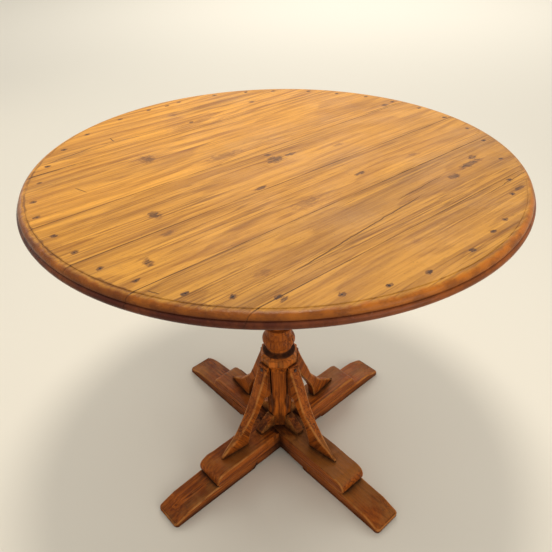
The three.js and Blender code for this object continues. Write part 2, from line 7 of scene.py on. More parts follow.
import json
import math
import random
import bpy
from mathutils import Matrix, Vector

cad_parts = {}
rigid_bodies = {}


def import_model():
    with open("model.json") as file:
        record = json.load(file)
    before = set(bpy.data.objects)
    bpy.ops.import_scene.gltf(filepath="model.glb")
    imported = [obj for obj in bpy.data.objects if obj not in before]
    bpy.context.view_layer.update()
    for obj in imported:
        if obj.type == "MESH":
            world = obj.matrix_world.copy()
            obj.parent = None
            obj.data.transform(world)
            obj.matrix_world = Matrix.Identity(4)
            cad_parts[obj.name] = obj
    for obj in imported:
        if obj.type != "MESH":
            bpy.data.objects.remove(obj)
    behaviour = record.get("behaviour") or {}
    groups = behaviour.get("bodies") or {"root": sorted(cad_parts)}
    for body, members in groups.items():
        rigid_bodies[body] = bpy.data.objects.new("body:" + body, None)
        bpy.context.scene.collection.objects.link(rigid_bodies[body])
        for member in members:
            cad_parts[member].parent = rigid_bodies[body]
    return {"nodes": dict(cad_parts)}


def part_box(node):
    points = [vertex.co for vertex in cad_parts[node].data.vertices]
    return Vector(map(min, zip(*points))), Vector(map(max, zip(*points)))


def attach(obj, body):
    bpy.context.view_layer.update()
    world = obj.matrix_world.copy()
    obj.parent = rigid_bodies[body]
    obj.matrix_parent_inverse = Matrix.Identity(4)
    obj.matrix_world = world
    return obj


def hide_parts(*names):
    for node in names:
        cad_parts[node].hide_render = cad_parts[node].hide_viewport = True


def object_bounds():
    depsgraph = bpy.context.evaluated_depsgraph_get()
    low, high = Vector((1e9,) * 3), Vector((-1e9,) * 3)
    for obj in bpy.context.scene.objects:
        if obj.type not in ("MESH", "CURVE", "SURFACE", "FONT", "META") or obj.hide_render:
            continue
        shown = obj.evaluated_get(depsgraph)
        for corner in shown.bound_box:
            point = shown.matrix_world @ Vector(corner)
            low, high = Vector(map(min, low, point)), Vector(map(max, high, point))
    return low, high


bl_info = {
    "name": "Round Pedestal Table",
    "version": (1, 0, 0),
    "blender": (4, 5, 0),
    "location": "View3D > Sidebar > Table",
    "description": "Builds a nailed plank top on a turned pedestal with ribs and a crossed foot",
    "category": "Add Mesh",
}

import bpy
from bpy.props import FloatProperty, FloatVectorProperty, IntProperty, PointerProperty
from mathutils import Euler, Matrix, Vector

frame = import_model()
CAD_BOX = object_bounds()

# ---------------------------------------------------------------- measures taken from the frame

GRAIN_TURN = 42.5
BOARDS = [f"plank_{i}" for i in range(1, 7)]
ARMS = (45, 135, 225, 315)

TOP_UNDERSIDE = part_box("plank_4")[0][2]
TABLE_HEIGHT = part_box("plank_4")[1][2]
TOP_RADIUS = CAD_BOX[1][0]
JOINTS = [share * TOP_RADIUS for share in (-0.709, -0.418, -0.172, 0.123, 0.528)]
SHAFT_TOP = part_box("head_block")[0][2] - 0.0003
BEARER_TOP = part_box("bearer_over")[1][2]
POST_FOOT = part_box("upper_beam_over")[1][2] + 0.0003
CAPITAL_TOP = POST_FOOT + 0.2304

# Nail places: degrees from the grain, distance from the centre in millimetres.
NAILS = (
    (0.7, 419), (10.2, 417), (19.4, 418), (29.3, 416), (38.9, 417), (50.5, 416), (59.7, 417), (70.3, 416),
    (82.8, 411), (87.7, 404), (94.2, 407), (104.9, 410), (118.6, 412), (130.0, 413), (140.8, 413),
    (150.4, 411), (160.4, 416), (168.1, 416), (178.1, 410), (187.0, 409), (195.6, 412), (204.1, 410),
    (214.4, 414), (222.7, 410), (230.6, 409), (241.5, 414), (250.3, 414), (259.0, 412), (271.0, 411),
    (280.2, 408), (286.4, 410), (299.2, 407), (306.6, 404), (319.0, 407), (331.2, 410), (340.5, 415),
    (350.5, 417),
)

# Knots and stains: board, along, across, half length, half width in millimetres, darkness.
MARKS = (
    (4, 6, 5, 26, 20, 0.55), (4, 8, 30, 8, 6, 0.9), (4, -10, 2, 6, 5, 0.8), (4, 41, 5, 13, 6, 0.85),
    (4, -268, -30, 12, 18, 0.6), (4, 140, -22, 18, 8, 0.4), (4, -88, -68, 16, 7, 0.7),
    (2, 183, -255, 13, 9, 1.0), (2, 250, -243, 40, 9, 0.7), (2, 276, -228, 14, 9, 0.75),
    (2, -240, -262, 18, 12, 0.4), (3, 76, -139, 13, 5, 0.85), (3, -66, -158, 40, 20, 0.4),
    (3, -341, -140, 8, 14, 0.7), (3, 205, -150, 22, 7, 0.4), (3, -282, -92, 18, 10, 0.45),
    (5, -52, 84, 60, 16, 0.4), (5, -169, 167, 20, 26, 0.5), (5, 380, 70, 13, 8, 0.6),
    (5, 330, 110, 50, 40, 0.25),
    (6, -1, 276, 6, 6, 0.9), (6, 176, 293, 12, 5, 0.7), (6, -30, 262, 48, 26, 0.3), (6, -6, 341, 16, 10, 0.4),
    (1, -258, -324, 9, 5, 0.8), (1, 225, -352, 18, 6, 0.7), (1, -30, -345, 12, 8, 0.35),
)

# Splits in the boards: board, start along and across, end along and across in millimetres, half width
# before the common spread.
SPLIT_SPREAD = 1.3
SPLITS = (
    (2, -231, -290, 112, -260, 0.8), (6, -322, 271, -210, 291, 0.9), (6, -210, 291, -111, 280, 0.7),
    (4, -407, -80, -296, -79, 1.0), (5, -321, 145, -311, 112, 0.7), (6, -175, 288, -172, 313, 0.9),
    (2, -376, -196, -366, -215, 0.6), (5, -390, 233, -260, 236, 1.0), (3, 60, -187, 330, -187, 0.7),
    (5, 300, 62, 430, 57, 0.8), (2, 40, -247, 180, -240, 0.5), (1, 150, -330, 330, -324, 0.5),
)

# Each board's tint (1 is the common colour) paints the light brighter on the back-left boards and darker on
# the front-right ones; then ring pitch in metres and pith offset across, in metres.
BOARD_LOOKS = (
    (0.89, 0.016, -0.40), (0.86, 0.014, -0.25), (0.97, 0.013, -0.16),
    (1.00, 0.017, 0.00), (1.13, 0.018, 0.14), (1.20, 0.016, 0.30),
)


# Widths and drops of the moulded rim.
RIM_WIDTH = 0.016
BEAD = 0.0065
FACE = TABLE_HEIGHT - 0.0005
SAW_GAP = 0.0002

# Tones that are laid over the woods.
SUNNED = (0.50, 0.22, 0.036)
SMOKY = (0.24, 0.115, 0.035)
KNOT_HALO = (0.27, 0.10, 0.022)
PIT = (0.10, 0.04, 0.012)
# A painted sheen on the front of the bead.
PAINTED_BEAD_SHEEN = (0.21, 0.05, 0.022)
UNPOLISHED = (0.2, 0.1, 0.045)
OLD_WAX = (0.24, 0.056, 0.007)
TANNED = (0.36, 0.15, 0.035)
DUSTY_PATCH = (0.16, 0.085, 0.042)
PALE_EDGE = (0.33, 0.18, 0.085)
RUST = (0.07, 0.028, 0.014)
END_GRAIN = (0.09, 0.032, 0.014)
END_GRAIN_SHADE = (0.02, 0.009, 0.005)


# ---------------------------------------------------------------- settings


def colour_setting(name, description, default):
    return FloatVectorProperty(
        name=name, description=description, default=default, size=3, subtype="COLOR", min=0.0, max=1.0
    )


class TopSettings(bpy.types.PropertyGroup):
    board_colour: colour_setting("Board", "Waxed face of the boards", (0.62, 0.285, 0.036))
    board_shade: colour_setting("Board shade", "Late wood and old wax in the grain", (0.25, 0.088, 0.009))
    rim_colour: colour_setting("Rim", "Moulded slope of the rim", (0.50, 0.145, 0.012))
    bead_colour: colour_setting("Bead", "Lower bead of the rim", (0.30, 0.070, 0.007))
    # The rim shade colour also paints the shade along the quirk and darkens the rim towards the near end.
    rim_shade: colour_setting("Rim shade", "End grain and old wax on the rim", (0.07, 0.013, 0.005))
    stain_colour: colour_setting("Stain", "Knots, splits and iron stains", (0.05, 0.02, 0.009))
    edge_ease: FloatProperty(
        name="Edge ease", description="Rounding of a board's long edges", default=0.0008, unit="LENGTH"
    )
    unevenness: FloatProperty(
        name="Unevenness", description="How far the face wanders from flat", default=0.00035, unit="LENGTH"
    )
    rim_steps: IntProperty(name="Rim steps", description="Facets round the rim", default=288, min=96)


class NailSettings(bpy.types.PropertyGroup):
    head_radius: FloatProperty(
        name="Head", description="Radius of a nail's head", default=0.0023, unit="LENGTH"
    )
    iron_colour: colour_setting("Iron", "Old blackened iron", (0.028, 0.02, 0.017))


class BaseSettings(bpy.types.PropertyGroup):
    wood_colour: colour_setting("Wood", "Waxed red-brown wood", (0.48, 0.118, 0.011))
    wood_shade: colour_setting("Wood shade", "Dark grain of the base", (0.115, 0.024, 0.004))
    # Laid on the rounded edges as wear and as a painted highlight.
    worn_highlight_colour: colour_setting("Worn edge and highlight", "Rubbed edges and corners", (0.60, 0.24, 0.055))
    # Painted shade in the corners, joints and middle of the base, and grime at the neck.
    shade_grime_colour: colour_setting("Shade and grime", "Old wax and dust in the corners", (0.018, 0.008, 0.005))
    edge_round: FloatProperty(
        name="Edge round", description="Radius of the rubbed edges", default=0.0044, unit="LENGTH"
    )


class FrameSettings(bpy.types.PropertyGroup):
    wood_colour: colour_setting("Raw wood", "Unpolished wood under the top", (0.25, 0.125, 0.05))
    wood_shade: colour_setting("Raw wood shade", "Grain of the unpolished wood", (0.12, 0.05, 0.018))


class StageSettings(bpy.types.PropertyGroup):
    floor_colour: colour_setting("Floor", "Plain pale floor", (0.80, 0.745, 0.63))
    lamp_power: FloatProperty(name="Lamp", description="Soft lamp over the table", default=28.0, unit="POWER")
    window_power: FloatProperty(
        name="Window", description="Broad light from the right", default=24.0, unit="POWER"
    )
    wall_power: FloatProperty(name="Wall", description="Light off the left wall", default=9.0, unit="POWER")
    far_power: FloatProperty(
        name="Far lamp", description="Light on the far floor", default=200.0, unit="POWER"
    )
    sky_strength: FloatProperty(name="Sky", description="Even light from all round", default=0.56)


# ---------------------------------------------------------------- working in edit mode


def deselect_all():
    if bpy.context.mode != "OBJECT":
        bpy.ops.object.mode_set(mode="OBJECT")
    bpy.ops.object.select_all(action="DESELECT")


def take(piece):
    """Makes one piece the only one selected, and active."""
    deselect_all()
    piece.select_set(True)
    bpy.context.view_layer.objects.active = piece


def open_mesh(piece, mode="VERT", select=None):
    """Enters edit mode with all of the mesh selected, or what a test of each element picks."""
    take(piece)
    mesh = piece.data
    if select is not None:
        for part in (mesh.vertices, mesh.edges, mesh.polygons):
            part.foreach_set("select", [False] * len(part))
        chosen = {"VERT": mesh.vertices, "EDGE": mesh.edges, "FACE": mesh.polygons}[mode]
        chosen.foreach_set("select", [bool(select(element)) for element in chosen])
    bpy.ops.object.mode_set(mode="EDIT")
    bpy.ops.mesh.select_mode(type=mode)
    if select is None:
        bpy.ops.mesh.select_all(action="SELECT")


def close_mesh():
    bpy.ops.object.mode_set(mode="OBJECT")


def named(piece, name):
    piece.name = name
    piece.data.name = name
    return piece


def move_selected(x=0.0, y=0.0, z=0.0):
    bpy.ops.transform.translate(value=(x, y, z))


def turned(name, profile, steps):
    """A closed turned body: a disc drawn out and resized along a profile of (radius, height)."""
    deselect_all()
    radius, height = profile[0]
    bpy.ops.mesh.primitive_circle_add(
        vertices=steps, radius=radius, fill_type="NGON", location=(0, 0, height)
    )
    piece = named(bpy.context.object, name)
    bpy.ops.object.transform_apply(location=True, rotation=True, scale=True)
    open_mesh(piece, "FACE")
    for next_radius, next_height in profile[1:]:
        bpy.ops.mesh.extrude_region_move(
            TRANSFORM_OT_translate={"value": (0, 0, next_height - height)}
        )
        if abs(next_radius - radius) > 1e-7:
            share = next_radius / radius
            bpy.ops.transform.resize(value=(share, share, 1), center_override=(0, 0, next_height))
        radius, height = next_radius, next_height
    bpy.ops.mesh.select_all(action="SELECT")
    bpy.ops.mesh.normals_make_consistent(inside=False)
    close_mesh()
    return piece


def copy_of(piece, name):
    """A copy with its own mesh, in the same place."""
    twin = piece.copy()
    twin.data = piece.data.copy()
    bpy.context.scene.collection.objects.link(twin)
    return named(twin, name)


def merged_copy(node, name):
    """A free copy of a frame node, its loose triangles joined and its flat faces made whole."""
    source = frame["nodes"][node]
    mesh = source.data.copy()
    mesh.transform(source.matrix_world)
    mesh.materials.clear()
    piece = bpy.data.objects.new(name, mesh)
    bpy.context.scene.collection.objects.link(piece)
    named(piece, name)
    open_mesh(piece, "VERT")
    bpy.ops.mesh.remove_doubles(threshold=0.00002)
    bpy.ops.mesh.dissolve_limited(angle_limit=math.radians(0.6))
    bpy.ops.mesh.select_all(action="SELECT")
    bpy.ops.mesh.normals_make_consistent(inside=False)
    close_mesh()
    return piece


def cut(piece, point, normal, inner=False, outer=False, fill=False):
    """Cuts through the whole mesh, and may throw one side away and close the cut."""
    open_mesh(piece, "VERT")
    bpy.ops.mesh.bisect(
        plane_co=point, plane_no=normal, use_fill=fill, clear_inner=inner, clear_outer=outer, threshold=1e-6
    )
    close_mesh()


def hew(piece, along, pitch, depth):
    """Cuts the piece across its length and lets its faces wander, as a drawknife leaves them."""
    corners = [v.co for v in piece.data.vertices]
    ends = [c.dot(along) for c in corners]
    start, end = min(ends), max(ends)
    steps = max(1, round((end - start) / pitch))
    for step in range(1, steps):
        cut(piece, along * (start + (end - start) * step / steps + 0.0007), along)
    texture = bpy.data.textures.get("drawknife") or bpy.data.textures.new("drawknife", "CLOUDS")
    texture.noise_scale = 0.045
    off_floor = piece.vertex_groups.new(name="off_floor")
    off_floor.add([v.index for v in piece.data.vertices if v.co.z > 0.006], 1.0, "REPLACE")
    take(piece)
    modifier = piece.modifiers.new("Hewn", "DISPLACE")
    modifier.texture = texture
    modifier.texture_coords = "LOCAL"
    modifier.vertex_group = off_floor.name
    modifier.strength = depth
    bpy.ops.object.modifier_apply(modifier=modifier.name)


def direction(turn):
    return Vector((math.cos(math.radians(turn)), math.sin(math.radians(turn)), 0))


def write_on(piece, name, values, kind="FLOAT_VECTOR", key="vector"):
    """Writes one value for each point of the piece, under a name that the materials read."""
    attributes = piece.data.attributes
    attribute = attributes.get(name) or attributes.new(name, kind, "POINT")
    attribute.data.foreach_set(key, values)


def round_edges(piece, width, segments=4, sharpness=28.0, select=None, keep=None):
    """Rounds the sharp edges and marks the crest of each rounding in the attribute "crest".

    With a keep test only the sharp edges whose middle passes it are rounded, to the full width.
    """
    if select is None:
        open_mesh(piece, "EDGE", select=lambda e: False)
        bpy.ops.mesh.edges_select_sharp(sharpness=math.radians(sharpness))
        if keep is not None:
            close_mesh()
            points = piece.data.vertices
            chosen = {e.index for e in piece.data.edges
                      if e.select and keep((points[e.vertices[0]].co + points[e.vertices[1]].co) / 2)}
            open_mesh(piece, "EDGE", select=lambda e: e.index in chosen)
    else:
        open_mesh(piece, "EDGE", select=select)
    bpy.ops.mesh.bevel(
        offset=width, segments=segments, affect="EDGES", clamp_overlap=keep is None, loop_slide=True
    )
    bpy.ops.mesh.select_mode(type="FACE")
    bpy.ops.mesh.select_less()
    close_mesh()
    mesh = piece.data
    crest = [0.0] * len(mesh.vertices)
    for face in mesh.polygons:
        if face.select:
            for i in face.vertices:
                crest[i] = 1.0
    write_on(piece, "crest", crest, "FLOAT", "value")


def smooth(piece, angle=38.0, weighted=True):
    take(piece)
    bpy.ops.object.shade_smooth_by_angle(angle=math.radians(angle))
    if weighted:
        modifier = piece.modifiers.new("Even faces", "WEIGHTED_NORMAL")
        modifier.keep_sharp = True
        bpy.ops.object.modifier_apply(modifier=modifier.name)


def lay_grain(piece, along, seed, tilt=None):
    """Writes the attribute "timber": x along the grain, z up through it, shifted by the seed."""
    turn = Matrix.Rotation(math.radians(-along), 3, "Z")
    if tilt is not None:
        turn = Matrix.Rotation(math.radians(tilt), 3, "Y") @ turn
    chance = random.Random(seed)
    shift = Vector((chance.uniform(-4, 4), chance.uniform(-0.4, 0.4), chance.uniform(-0.06, 0.06)))
    values = []
    for vertex in piece.data.vertices:
        values.extend(turn @ vertex.co + shift)
    write_on(piece, "timber", values)


def dress(piece, material):
    piece.data.materials.clear()
    piece.data.materials.append(material)


def hand_over(piece, slot, *nodes):
    """Hides the nodes that a finished piece stands for and attaches the piece to the root body. The slot is
    not used.
    """
    if nodes:
        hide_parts(*nodes)
    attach(piece, "root")


def complete(piece, material, angle, slot, node):
    """Smooths, colours and hands over a piece that stands for one node."""
    smooth(piece, angle)
    dress(piece, material)
    hand_over(piece, slot, node)


# ---------------------------------------------------------------- shader building


class Nodes:
    """Short words for placing and joining shader nodes."""

    def __init__(self, tree):
        self.tree = tree
        self.count = 0

    def add(self, kind, values=None, **settings):
        node = self.tree.nodes.new(kind)
        node.location = (180 * (self.count % 12), -220 * (self.count // 12))
        self.count += 1
        for name, value in settings.items():
            setattr(node, name, value)
        for socket, value in (values or {}).items():
            self.put(value, node.inputs[socket])
        return node

    def put(self, value, socket):
        if isinstance(value, bpy.types.NodeSocket):
            self.tree.links.new(value, socket)
        else:
            socket.default_value = value

    def math(self, operation, first, second=0.5, third=None, clamp=False):
        node = self.add("ShaderNodeMath", operation=operation, use_clamp=clamp)
        self.put(first, node.inputs[0])
        self.put(second, node.inputs[1])
        if third is not None:
            self.put(third, node.inputs[2])
        return node.outputs[0]

    def times(self, first, second):
        return self.math("MULTIPLY", first, second)

    def plus(self, first, second):
        return self.math("ADD", first, second)

    def less(self, first, second):
        return self.math("SUBTRACT", first, second)

    def most(self, values):
        """The greatest of one or more values."""
        greatest, *others = values
        for value in others:
            greatest = self.math("MAXIMUM", greatest, value)
        return greatest

    def wander(self, noise, amount):
        """A noise turned into a swing to both sides of nought."""
        return self.times(self.less(noise, 0.5), amount)

    def reach(self, x, y):
        """How far a place is from the middle of its plane."""
        return self.math("SQRT", self.plus(self.math("POWER", x, 2.0), self.math("POWER", y, 2.0)))

    def vector(self, operation, first, second=(0, 0, 0), output=0):
        node = self.add("ShaderNodeVectorMath", operation=operation)
        self.put(first, node.inputs[0])
        self.put(second, node.inputs[1])
        return node.outputs[output]

    def mix(self, factor, first, second, blend="MIX"):
        node = self.add("ShaderNodeMix", data_type="RGBA", blend_type=blend)
        self.put(factor, node.inputs[0])
        for value, index in ((first, 6), (second, 7)):
            self.put(
                value if isinstance(value, bpy.types.NodeSocket) else (*value[:3], 1.0), node.inputs[index]
            )
        return node.outputs[2]

    def spread(self, value, low, high, to_low=0.0, to_high=1.0):
        node = self.add("ShaderNodeMapRange", interpolation_type="SMOOTHSTEP")
        for given, socket in zip((value, low, high, to_low, to_high), node.inputs):
            self.put(given, socket)
        return node.outputs[0]

    def noise(self, vector, scale, detail=3.0, roughness=0.55, distortion=0.0):
        node = self.add("ShaderNodeTexNoise", {
            "Vector": vector, "Scale": scale, "Detail": detail,
            "Roughness": roughness, "Distortion": distortion,
        })
        return node.outputs["Fac"]

    def axes(self, vector):
        return self.add("ShaderNodeSeparateXYZ", {"Vector": vector}).outputs

    def stretched(self, vector, factors):
        return self.vector("MULTIPLY", vector, factors)

    def place(self):
        return self.add("ShaderNodeTexCoord").outputs["Object"]

    def facing(self):
        """How far the surface faces up."""
        return self.axes(self.add("ShaderNodeNewGeometry").outputs["Normal"])["Z"]

    def written(self, name, output="Fac"):
        """A value written on the piece's own points."""
        return self.add("ShaderNodeAttribute", attribute_name=name).outputs[output]

    def clouds(self, vector, scale, low, high):
        return self.group("Clouds", {"Vector": vector, "Scale": scale, "Low": low, "High": high})["Mask"]

    def laid(self, tone, mask, share, colour):
        """The tone with a colour laid over it by a share of a mask."""
        return self.mix(self.times(mask, share), tone, colour)

    def group(self, name, values):
        node = self.add("ShaderNodeGroup")
        node.node_tree = bpy.data.node_groups[name]
        for socket, value in values.items():
            self.put(value, node.inputs[socket])
        return node.outputs


def new_group(name, inputs, outputs):
    """An empty shader group with its named sockets; returns its nodes, its inputs and a closing call."""
    tree = bpy.data.node_groups.new(name, "ShaderNodeTree")
    kinds = {"float": "NodeSocketFloat", "vector": "NodeSocketVector", "colour": "NodeSocketColor"}
    for socket, kind, default in inputs:
        made = tree.interface.new_socket(name=socket, in_out="INPUT", socket_type=kinds[kind])
        if default is not None:
            made.default_value = default
    for socket, kind in outputs:
        tree.interface.new_socket(name=socket, in_out="OUTPUT", socket_type=kinds[kind])
    nodes = Nodes(tree)
    given = nodes.add("NodeGroupInput").outputs
    result = nodes.add("NodeGroupOutput").inputs

    def finish(**values):
        for socket, value in values.items():
            nodes.put(value, result[socket])

    return nodes, given, finish


def wood_grain_group():
    """Growth rings with arches, fine streaks and pores, from coordinates with x along the grain."""
    n, given, finish = new_group(
        "Wood grain",
        [("Vector", "vector", None), ("Ring pitch", "float", 0.015), ("Pith across", "float", 0.0),
         ("Pith depth", "float", 0.09), ("Waver", "float", 0.02)],
        [("Rings", "float"), ("Streak", "float"), ("Lines", "float"), ("Pores", "float"),
         ("Height", "float")],
    )
    place = given["Vector"]
    slow = n.stretched(place, (1.6, 7.0, 7.0))
    waver = n.wander(n.noise(slow, 1.0, 3.0, 0.5), given["Waver"])
    fine_waver = n.stretched(place, (5.0, 60.0, 60.0))
    ripple = n.wander(n.noise(fine_waver, 1.0, 2.0), 0.006)
    xyz = n.axes(place)
    across = n.less(xyz["Y"], given["Pith across"])
    depth = n.plus(xyz["Z"], given["Pith depth"])
    radius = n.plus(n.reach(across, depth), n.plus(n.times(waver, 3.0), ripple))
    turn = n.math("FRACT", n.math("DIVIDE", radius, given["Ring pitch"]))
    late = n.times(n.spread(turn, 0.25, 0.86), n.spread(turn, 1.0, 0.9))
    streak = n.noise(n.stretched(place, (7.0, 270.0, 270.0)), 1.0, 4.0, 0.65)
    broad = n.noise(n.stretched(place, (2.2, 55.0, 55.0)), 1.0, 3.0, 0.55)
    both = n.plus(n.times(streak, 0.55), n.times(broad, 0.45))
    thread = n.noise(n.stretched(place, (2.6, 130.0, 130.0)), 1.0, 2.0)
    thread = n.math("ABSOLUTE", n.less(thread, 0.5))
    where = n.spread(n.noise(n.stretched(place, (1.7, 17.0, 17.0)), 1.0, 2.0), 0.42, 0.6)
    lines = n.times(n.spread(thread, 0.045, 0.010), where)
    dashes = n.noise(n.stretched(place, (60.0, 1500.0, 1500.0)), 1.0, 2.0, 0.6)
    pores = n.spread(dashes, 0.60, 0.70)
    height = n.less(n.times(both, 0.7), n.times(pores, 0.5))
    height = n.less(height, n.times(lines, 0.5))
    finish(Rings=late, Streak=both, Lines=lines, Pores=pores,
           Height=n.plus(height, n.times(late, 0.2)))


def cloud_group():
    """Large soft patches, such as old wax, sun and handling leave."""
    n, given, finish = new_group(
        "Clouds",
        [("Vector", "vector", None), ("Scale", "float", 5.0), ("Low", "float", 0.4), ("High", "float", 0.65)],
        [("Mask", "float")],
    )
    finish(Mask=n.spread(n.noise(given["Vector"], given["Scale"], 4.0, 0.62), given["Low"], given["High"]))


def mark_group():
    """A ragged oval patch at a place on a board: a knot, a stain or a spot of rust."""
    n, given, finish = new_group(
        "Mark",
        [("Vector", "vector", None), ("Centre", "vector", (0, 0, 0)),
         ("Half size", "vector", (0.01, 0.01, 1)),
         ("Strength", "float", 1.0)],
        [("Mask", "float")],
    )
    rough = n.noise(n.stretched(given["Vector"], (90.0, 230.0, 1.0)), 1.0, 4.0, 0.65)
    away = n.vector("DIVIDE", n.vector("SUBTRACT", given["Vector"], given["Centre"]), given["Half size"])
    flat = n.stretched(away, (1.0, 1.0, 0.0))
    reach = n.plus(n.vector("LENGTH", flat, output=1), n.wander(rough, 2.2))
    finish(Mask=n.times(n.spread(reach, 1.25, 0.25), given["Strength"]))


def split_group():
    """A thin split that wanders a little, fading towards both ends."""
    n, given, finish = new_group(
        "Split",
        [("Vector", "vector", None), ("Middle", "vector", (0, 0, 0)), ("Turn", "float", 0.0),
         ("Half length", "float", 0.1), ("Half width", "float", 0.001)],
        [("Mask", "float")],
    )
    local = n.vector("SUBTRACT", given["Vector"], given["Middle"])
    turn = n.add("ShaderNodeVectorRotate", {"Vector": local, "Angle": given["Turn"]}, rotation_type="Z_AXIS")
    xyz = n.axes(turn.outputs[0])
    wander = n.noise(n.stretched(given["Vector"], (26.0, 4.0, 0.0)), 1.0, 3.0, 0.6)
    across = n.math("ABSOLUTE", n.plus(xyz["Y"], n.wander(wander, 0.007)))
    end = n.math("DIVIDE", n.math("ABSOLUTE", xyz["X"]), given["Half length"])
    width = n.times(given["Half width"], n.spread(end, 1.0, 0.55))
    finish(Mask=n.times(n.spread(across, n.times(width, 1.6), 0.0), n.spread(end, 1.0, 0.9)))


def nail_stain_group():
    """The dark ring that a nail leaves: distance from the nearest nail, read from a turn and a distance."""
    n, given, finish = new_group(
        "Nail stain",
        [("Vector", "vector", None), ("Nail turn", "float", 0.0), ("Nail distance", "float", 0.41)],
        [("Mask", "float")],
    )
    angle = n.times(given["Nail turn"], 2 * math.pi)
    x = n.times(n.math("COSINE", angle), given["Nail distance"])
    y = n.times(n.math("SINE", angle), given["Nail distance"])
    nail = n.add("ShaderNodeCombineXYZ", {"X": x, "Y": y}).outputs[0]
    away = n.stretched(n.vector("SUBTRACT", given["Vector"], nail), (0.7, 1.0, 0.0))
    rough = n.noise(n.stretched(given["Vector"], (140.0, 260.0, 1.0)), 1.0, 3.0, 0.6)
    reach = n.plus(n.vector("LENGTH", away, output=1), n.wander(rough, 0.008))
    finish(Mask=n.spread(reach, 0.0056, 0.0022))


def wood_tone_group():
    """Mixes a wood's two colours by its rings, streaks and pores."""
    n, given, finish = new_group(
        "Wood tone",
        [("Light", "colour", (1, 1, 1, 1)), ("Dark", "colour", (0, 0, 0, 1)), ("Rings", "float", 0.0),
         ("Streak", "float", 0.5), ("Lines", "float", 0.0), ("Pores", "float", 0.0),
          ("Ring weight", "float", 0.5),
         ("Streak weight", "float", 0.5)],
        [("Colour", "colour")],
    )
    streak = n.times(n.spread(given["Streak"], 0.39, 0.63), given["Streak weight"])
    dark = n.math("ADD", streak, n.times(given["Rings"], given["Ring weight"]), clamp=True)
    tone = n.mix(dark, given["Light"], given["Dark"])
    deep = n.mix(1.0, given["Dark"], (0.55, 0.5, 0.5), blend="MULTIPLY")
    tone = n.mix(n.times(given["Lines"], 0.6), tone, deep)
    finish(Colour=n.mix(n.times(given["Pores"], 0.5), tone, deep))


def new_material(name):
    material = bpy.data.materials.new(name)
    material.use_nodes = True
    nodes = Nodes(material.node_tree)
    shader = material.node_tree.nodes["Principled BSDF"]
    return material, nodes, shader


def surface(n, shader, colour, roughness):
    n.put(colour, shader.inputs["Base Color"])
    n.put(roughness, shader.inputs["Roughness"])


def raise_bump(n, shader, height, strength, distance):
    bump = n.add("ShaderNodeBump", {"Strength": strength, "Distance": distance, "Height": height})
    n.put(bump.outputs[0], shader.inputs["Normal"])


def wax(n, shader, specular, roughness, weight, bare):
    """A thin coat of wax, left off by the mask of bare wood."""
    shader.inputs["Specular IOR Level"].default_value = specular
    shader.inputs["Coat Roughness"].default_value = roughness
    n.put(n.times(n.less(1.0, bare), weight), shader.inputs["Coat Weight"])


def grained_wood(n, light, dark, pitch, pith, waver, rings, streaks, lines=1.0):
    """A wood's grain and its tone; pith is the heart's place across and below the timber."""
    grain = n.group("Wood grain", {
        "Vector": n.written("timber", "Vector"), "Ring pitch": pitch, "Pith across": pith[0],
        "Pith depth": pith[1], "Waver": waver,
    })
    tone = n.group("Wood tone", {
        "Light": (*light, 1.0), "Dark": (*dark, 1.0), "Rings": grain["Rings"], "Streak": grain["Streak"],
        "Lines": n.times(grain["Lines"], lines), "Pores": grain["Pores"],
        "Ring weight": rings, "Streak weight": streaks,
    })["Colour"]
    return grain, tone


def nails_on_board(index):
    """The nails that stand on one board, or close enough to stain it, in order of turn."""
    edges = [-1.0, *JOINTS, 1.0]
    low, high = edges[index - 1] - 0.015, edges[index] + 0.015
    near = [
        (angle, distance) for angle, distance in NAILS
        if low < math.sin(math.radians(angle)) * distance / 1000 < high
    ]
    return sorted(near)


def nearest_nail(n, plan, nails):
    """The turn and distance of the nail in the same sector, held in a stepped ramp."""
    xyz = n.axes(plan)
    turn = n.math("DIVIDE", n.math("ARCTAN2", xyz["Y"], xyz["X"]), 2 * math.pi)
    ramp = n.add("ShaderNodeValToRGB", {"Fac": n.math("FRACT", n.plus(turn, 1.0))})
    stops = ramp.color_ramp
    stops.interpolation = "CONSTANT"
    for i, (angle, distance) in enumerate(nails):
        start = 0.0 if i == 0 else (nails[i - 1][0] + angle) / 720
        stop = stops.elements[0] if i == 0 else stops.elements.new(start)
        stop.position = start
        stop.color = (angle / 360, distance / 1000, 0, 1)
        if i == 0:
            stops.elements.remove(stops.elements[1])
    parts = n.add("ShaderNodeSeparateColor", {"Color": ramp.outputs[0]}).outputs
    return parts["Red"], parts["Green"]


def board_marks(n, plan, index):
    """Masks the knots and stains of one board, and the rust round its nails."""
    masks = [
        n.group("Mark", {
            "Vector": plan, "Centre": (along / 1000, across / 1000, 0),
            "Half size": (half_length / 1000, half_width / 1000, 1), "Strength": strength,
        })["Mask"]
        for board, along, across, half_length, half_width, strength in MARKS if board == index
    ]
    turn, distance = nearest_nail(n, plan, nails_on_board(index))
    rust = n.group("Nail stain", {"Vector": plan, "Nail turn": turn, "Nail distance": distance})["Mask"]
    return n.most([*masks, n.times(rust, 0.85)])


def board_splits(n, plan, index):
    """Masks the splits of one board."""
    return n.most([
        n.group("Split", {
            "Vector": plan, "Middle": ((x0 + x1) / 2000, (y0 + y1) / 2000, 0),
            "Turn": -math.atan2(y1 - y0, x1 - x0), "Half length": math.hypot(x1 - x0, y1 - y0) / 2000,
            "Half width": half_width * SPLIT_SPREAD / 1000,
        })["Mask"]
        for board, x0, y0, x1, y1, half_width in SPLITS if board == index
    ])


def board_joints(n, across, index):
    """Masks the joints along one board's sides."""
    sides = [JOINTS[i] for i in (index - 2, index - 1) if 0 <= i < len(JOINTS)]
    return n.most([n.spread(n.math("ABSOLUTE", n.less(across, side)), 0.0014, 0.0004) for side in sides])


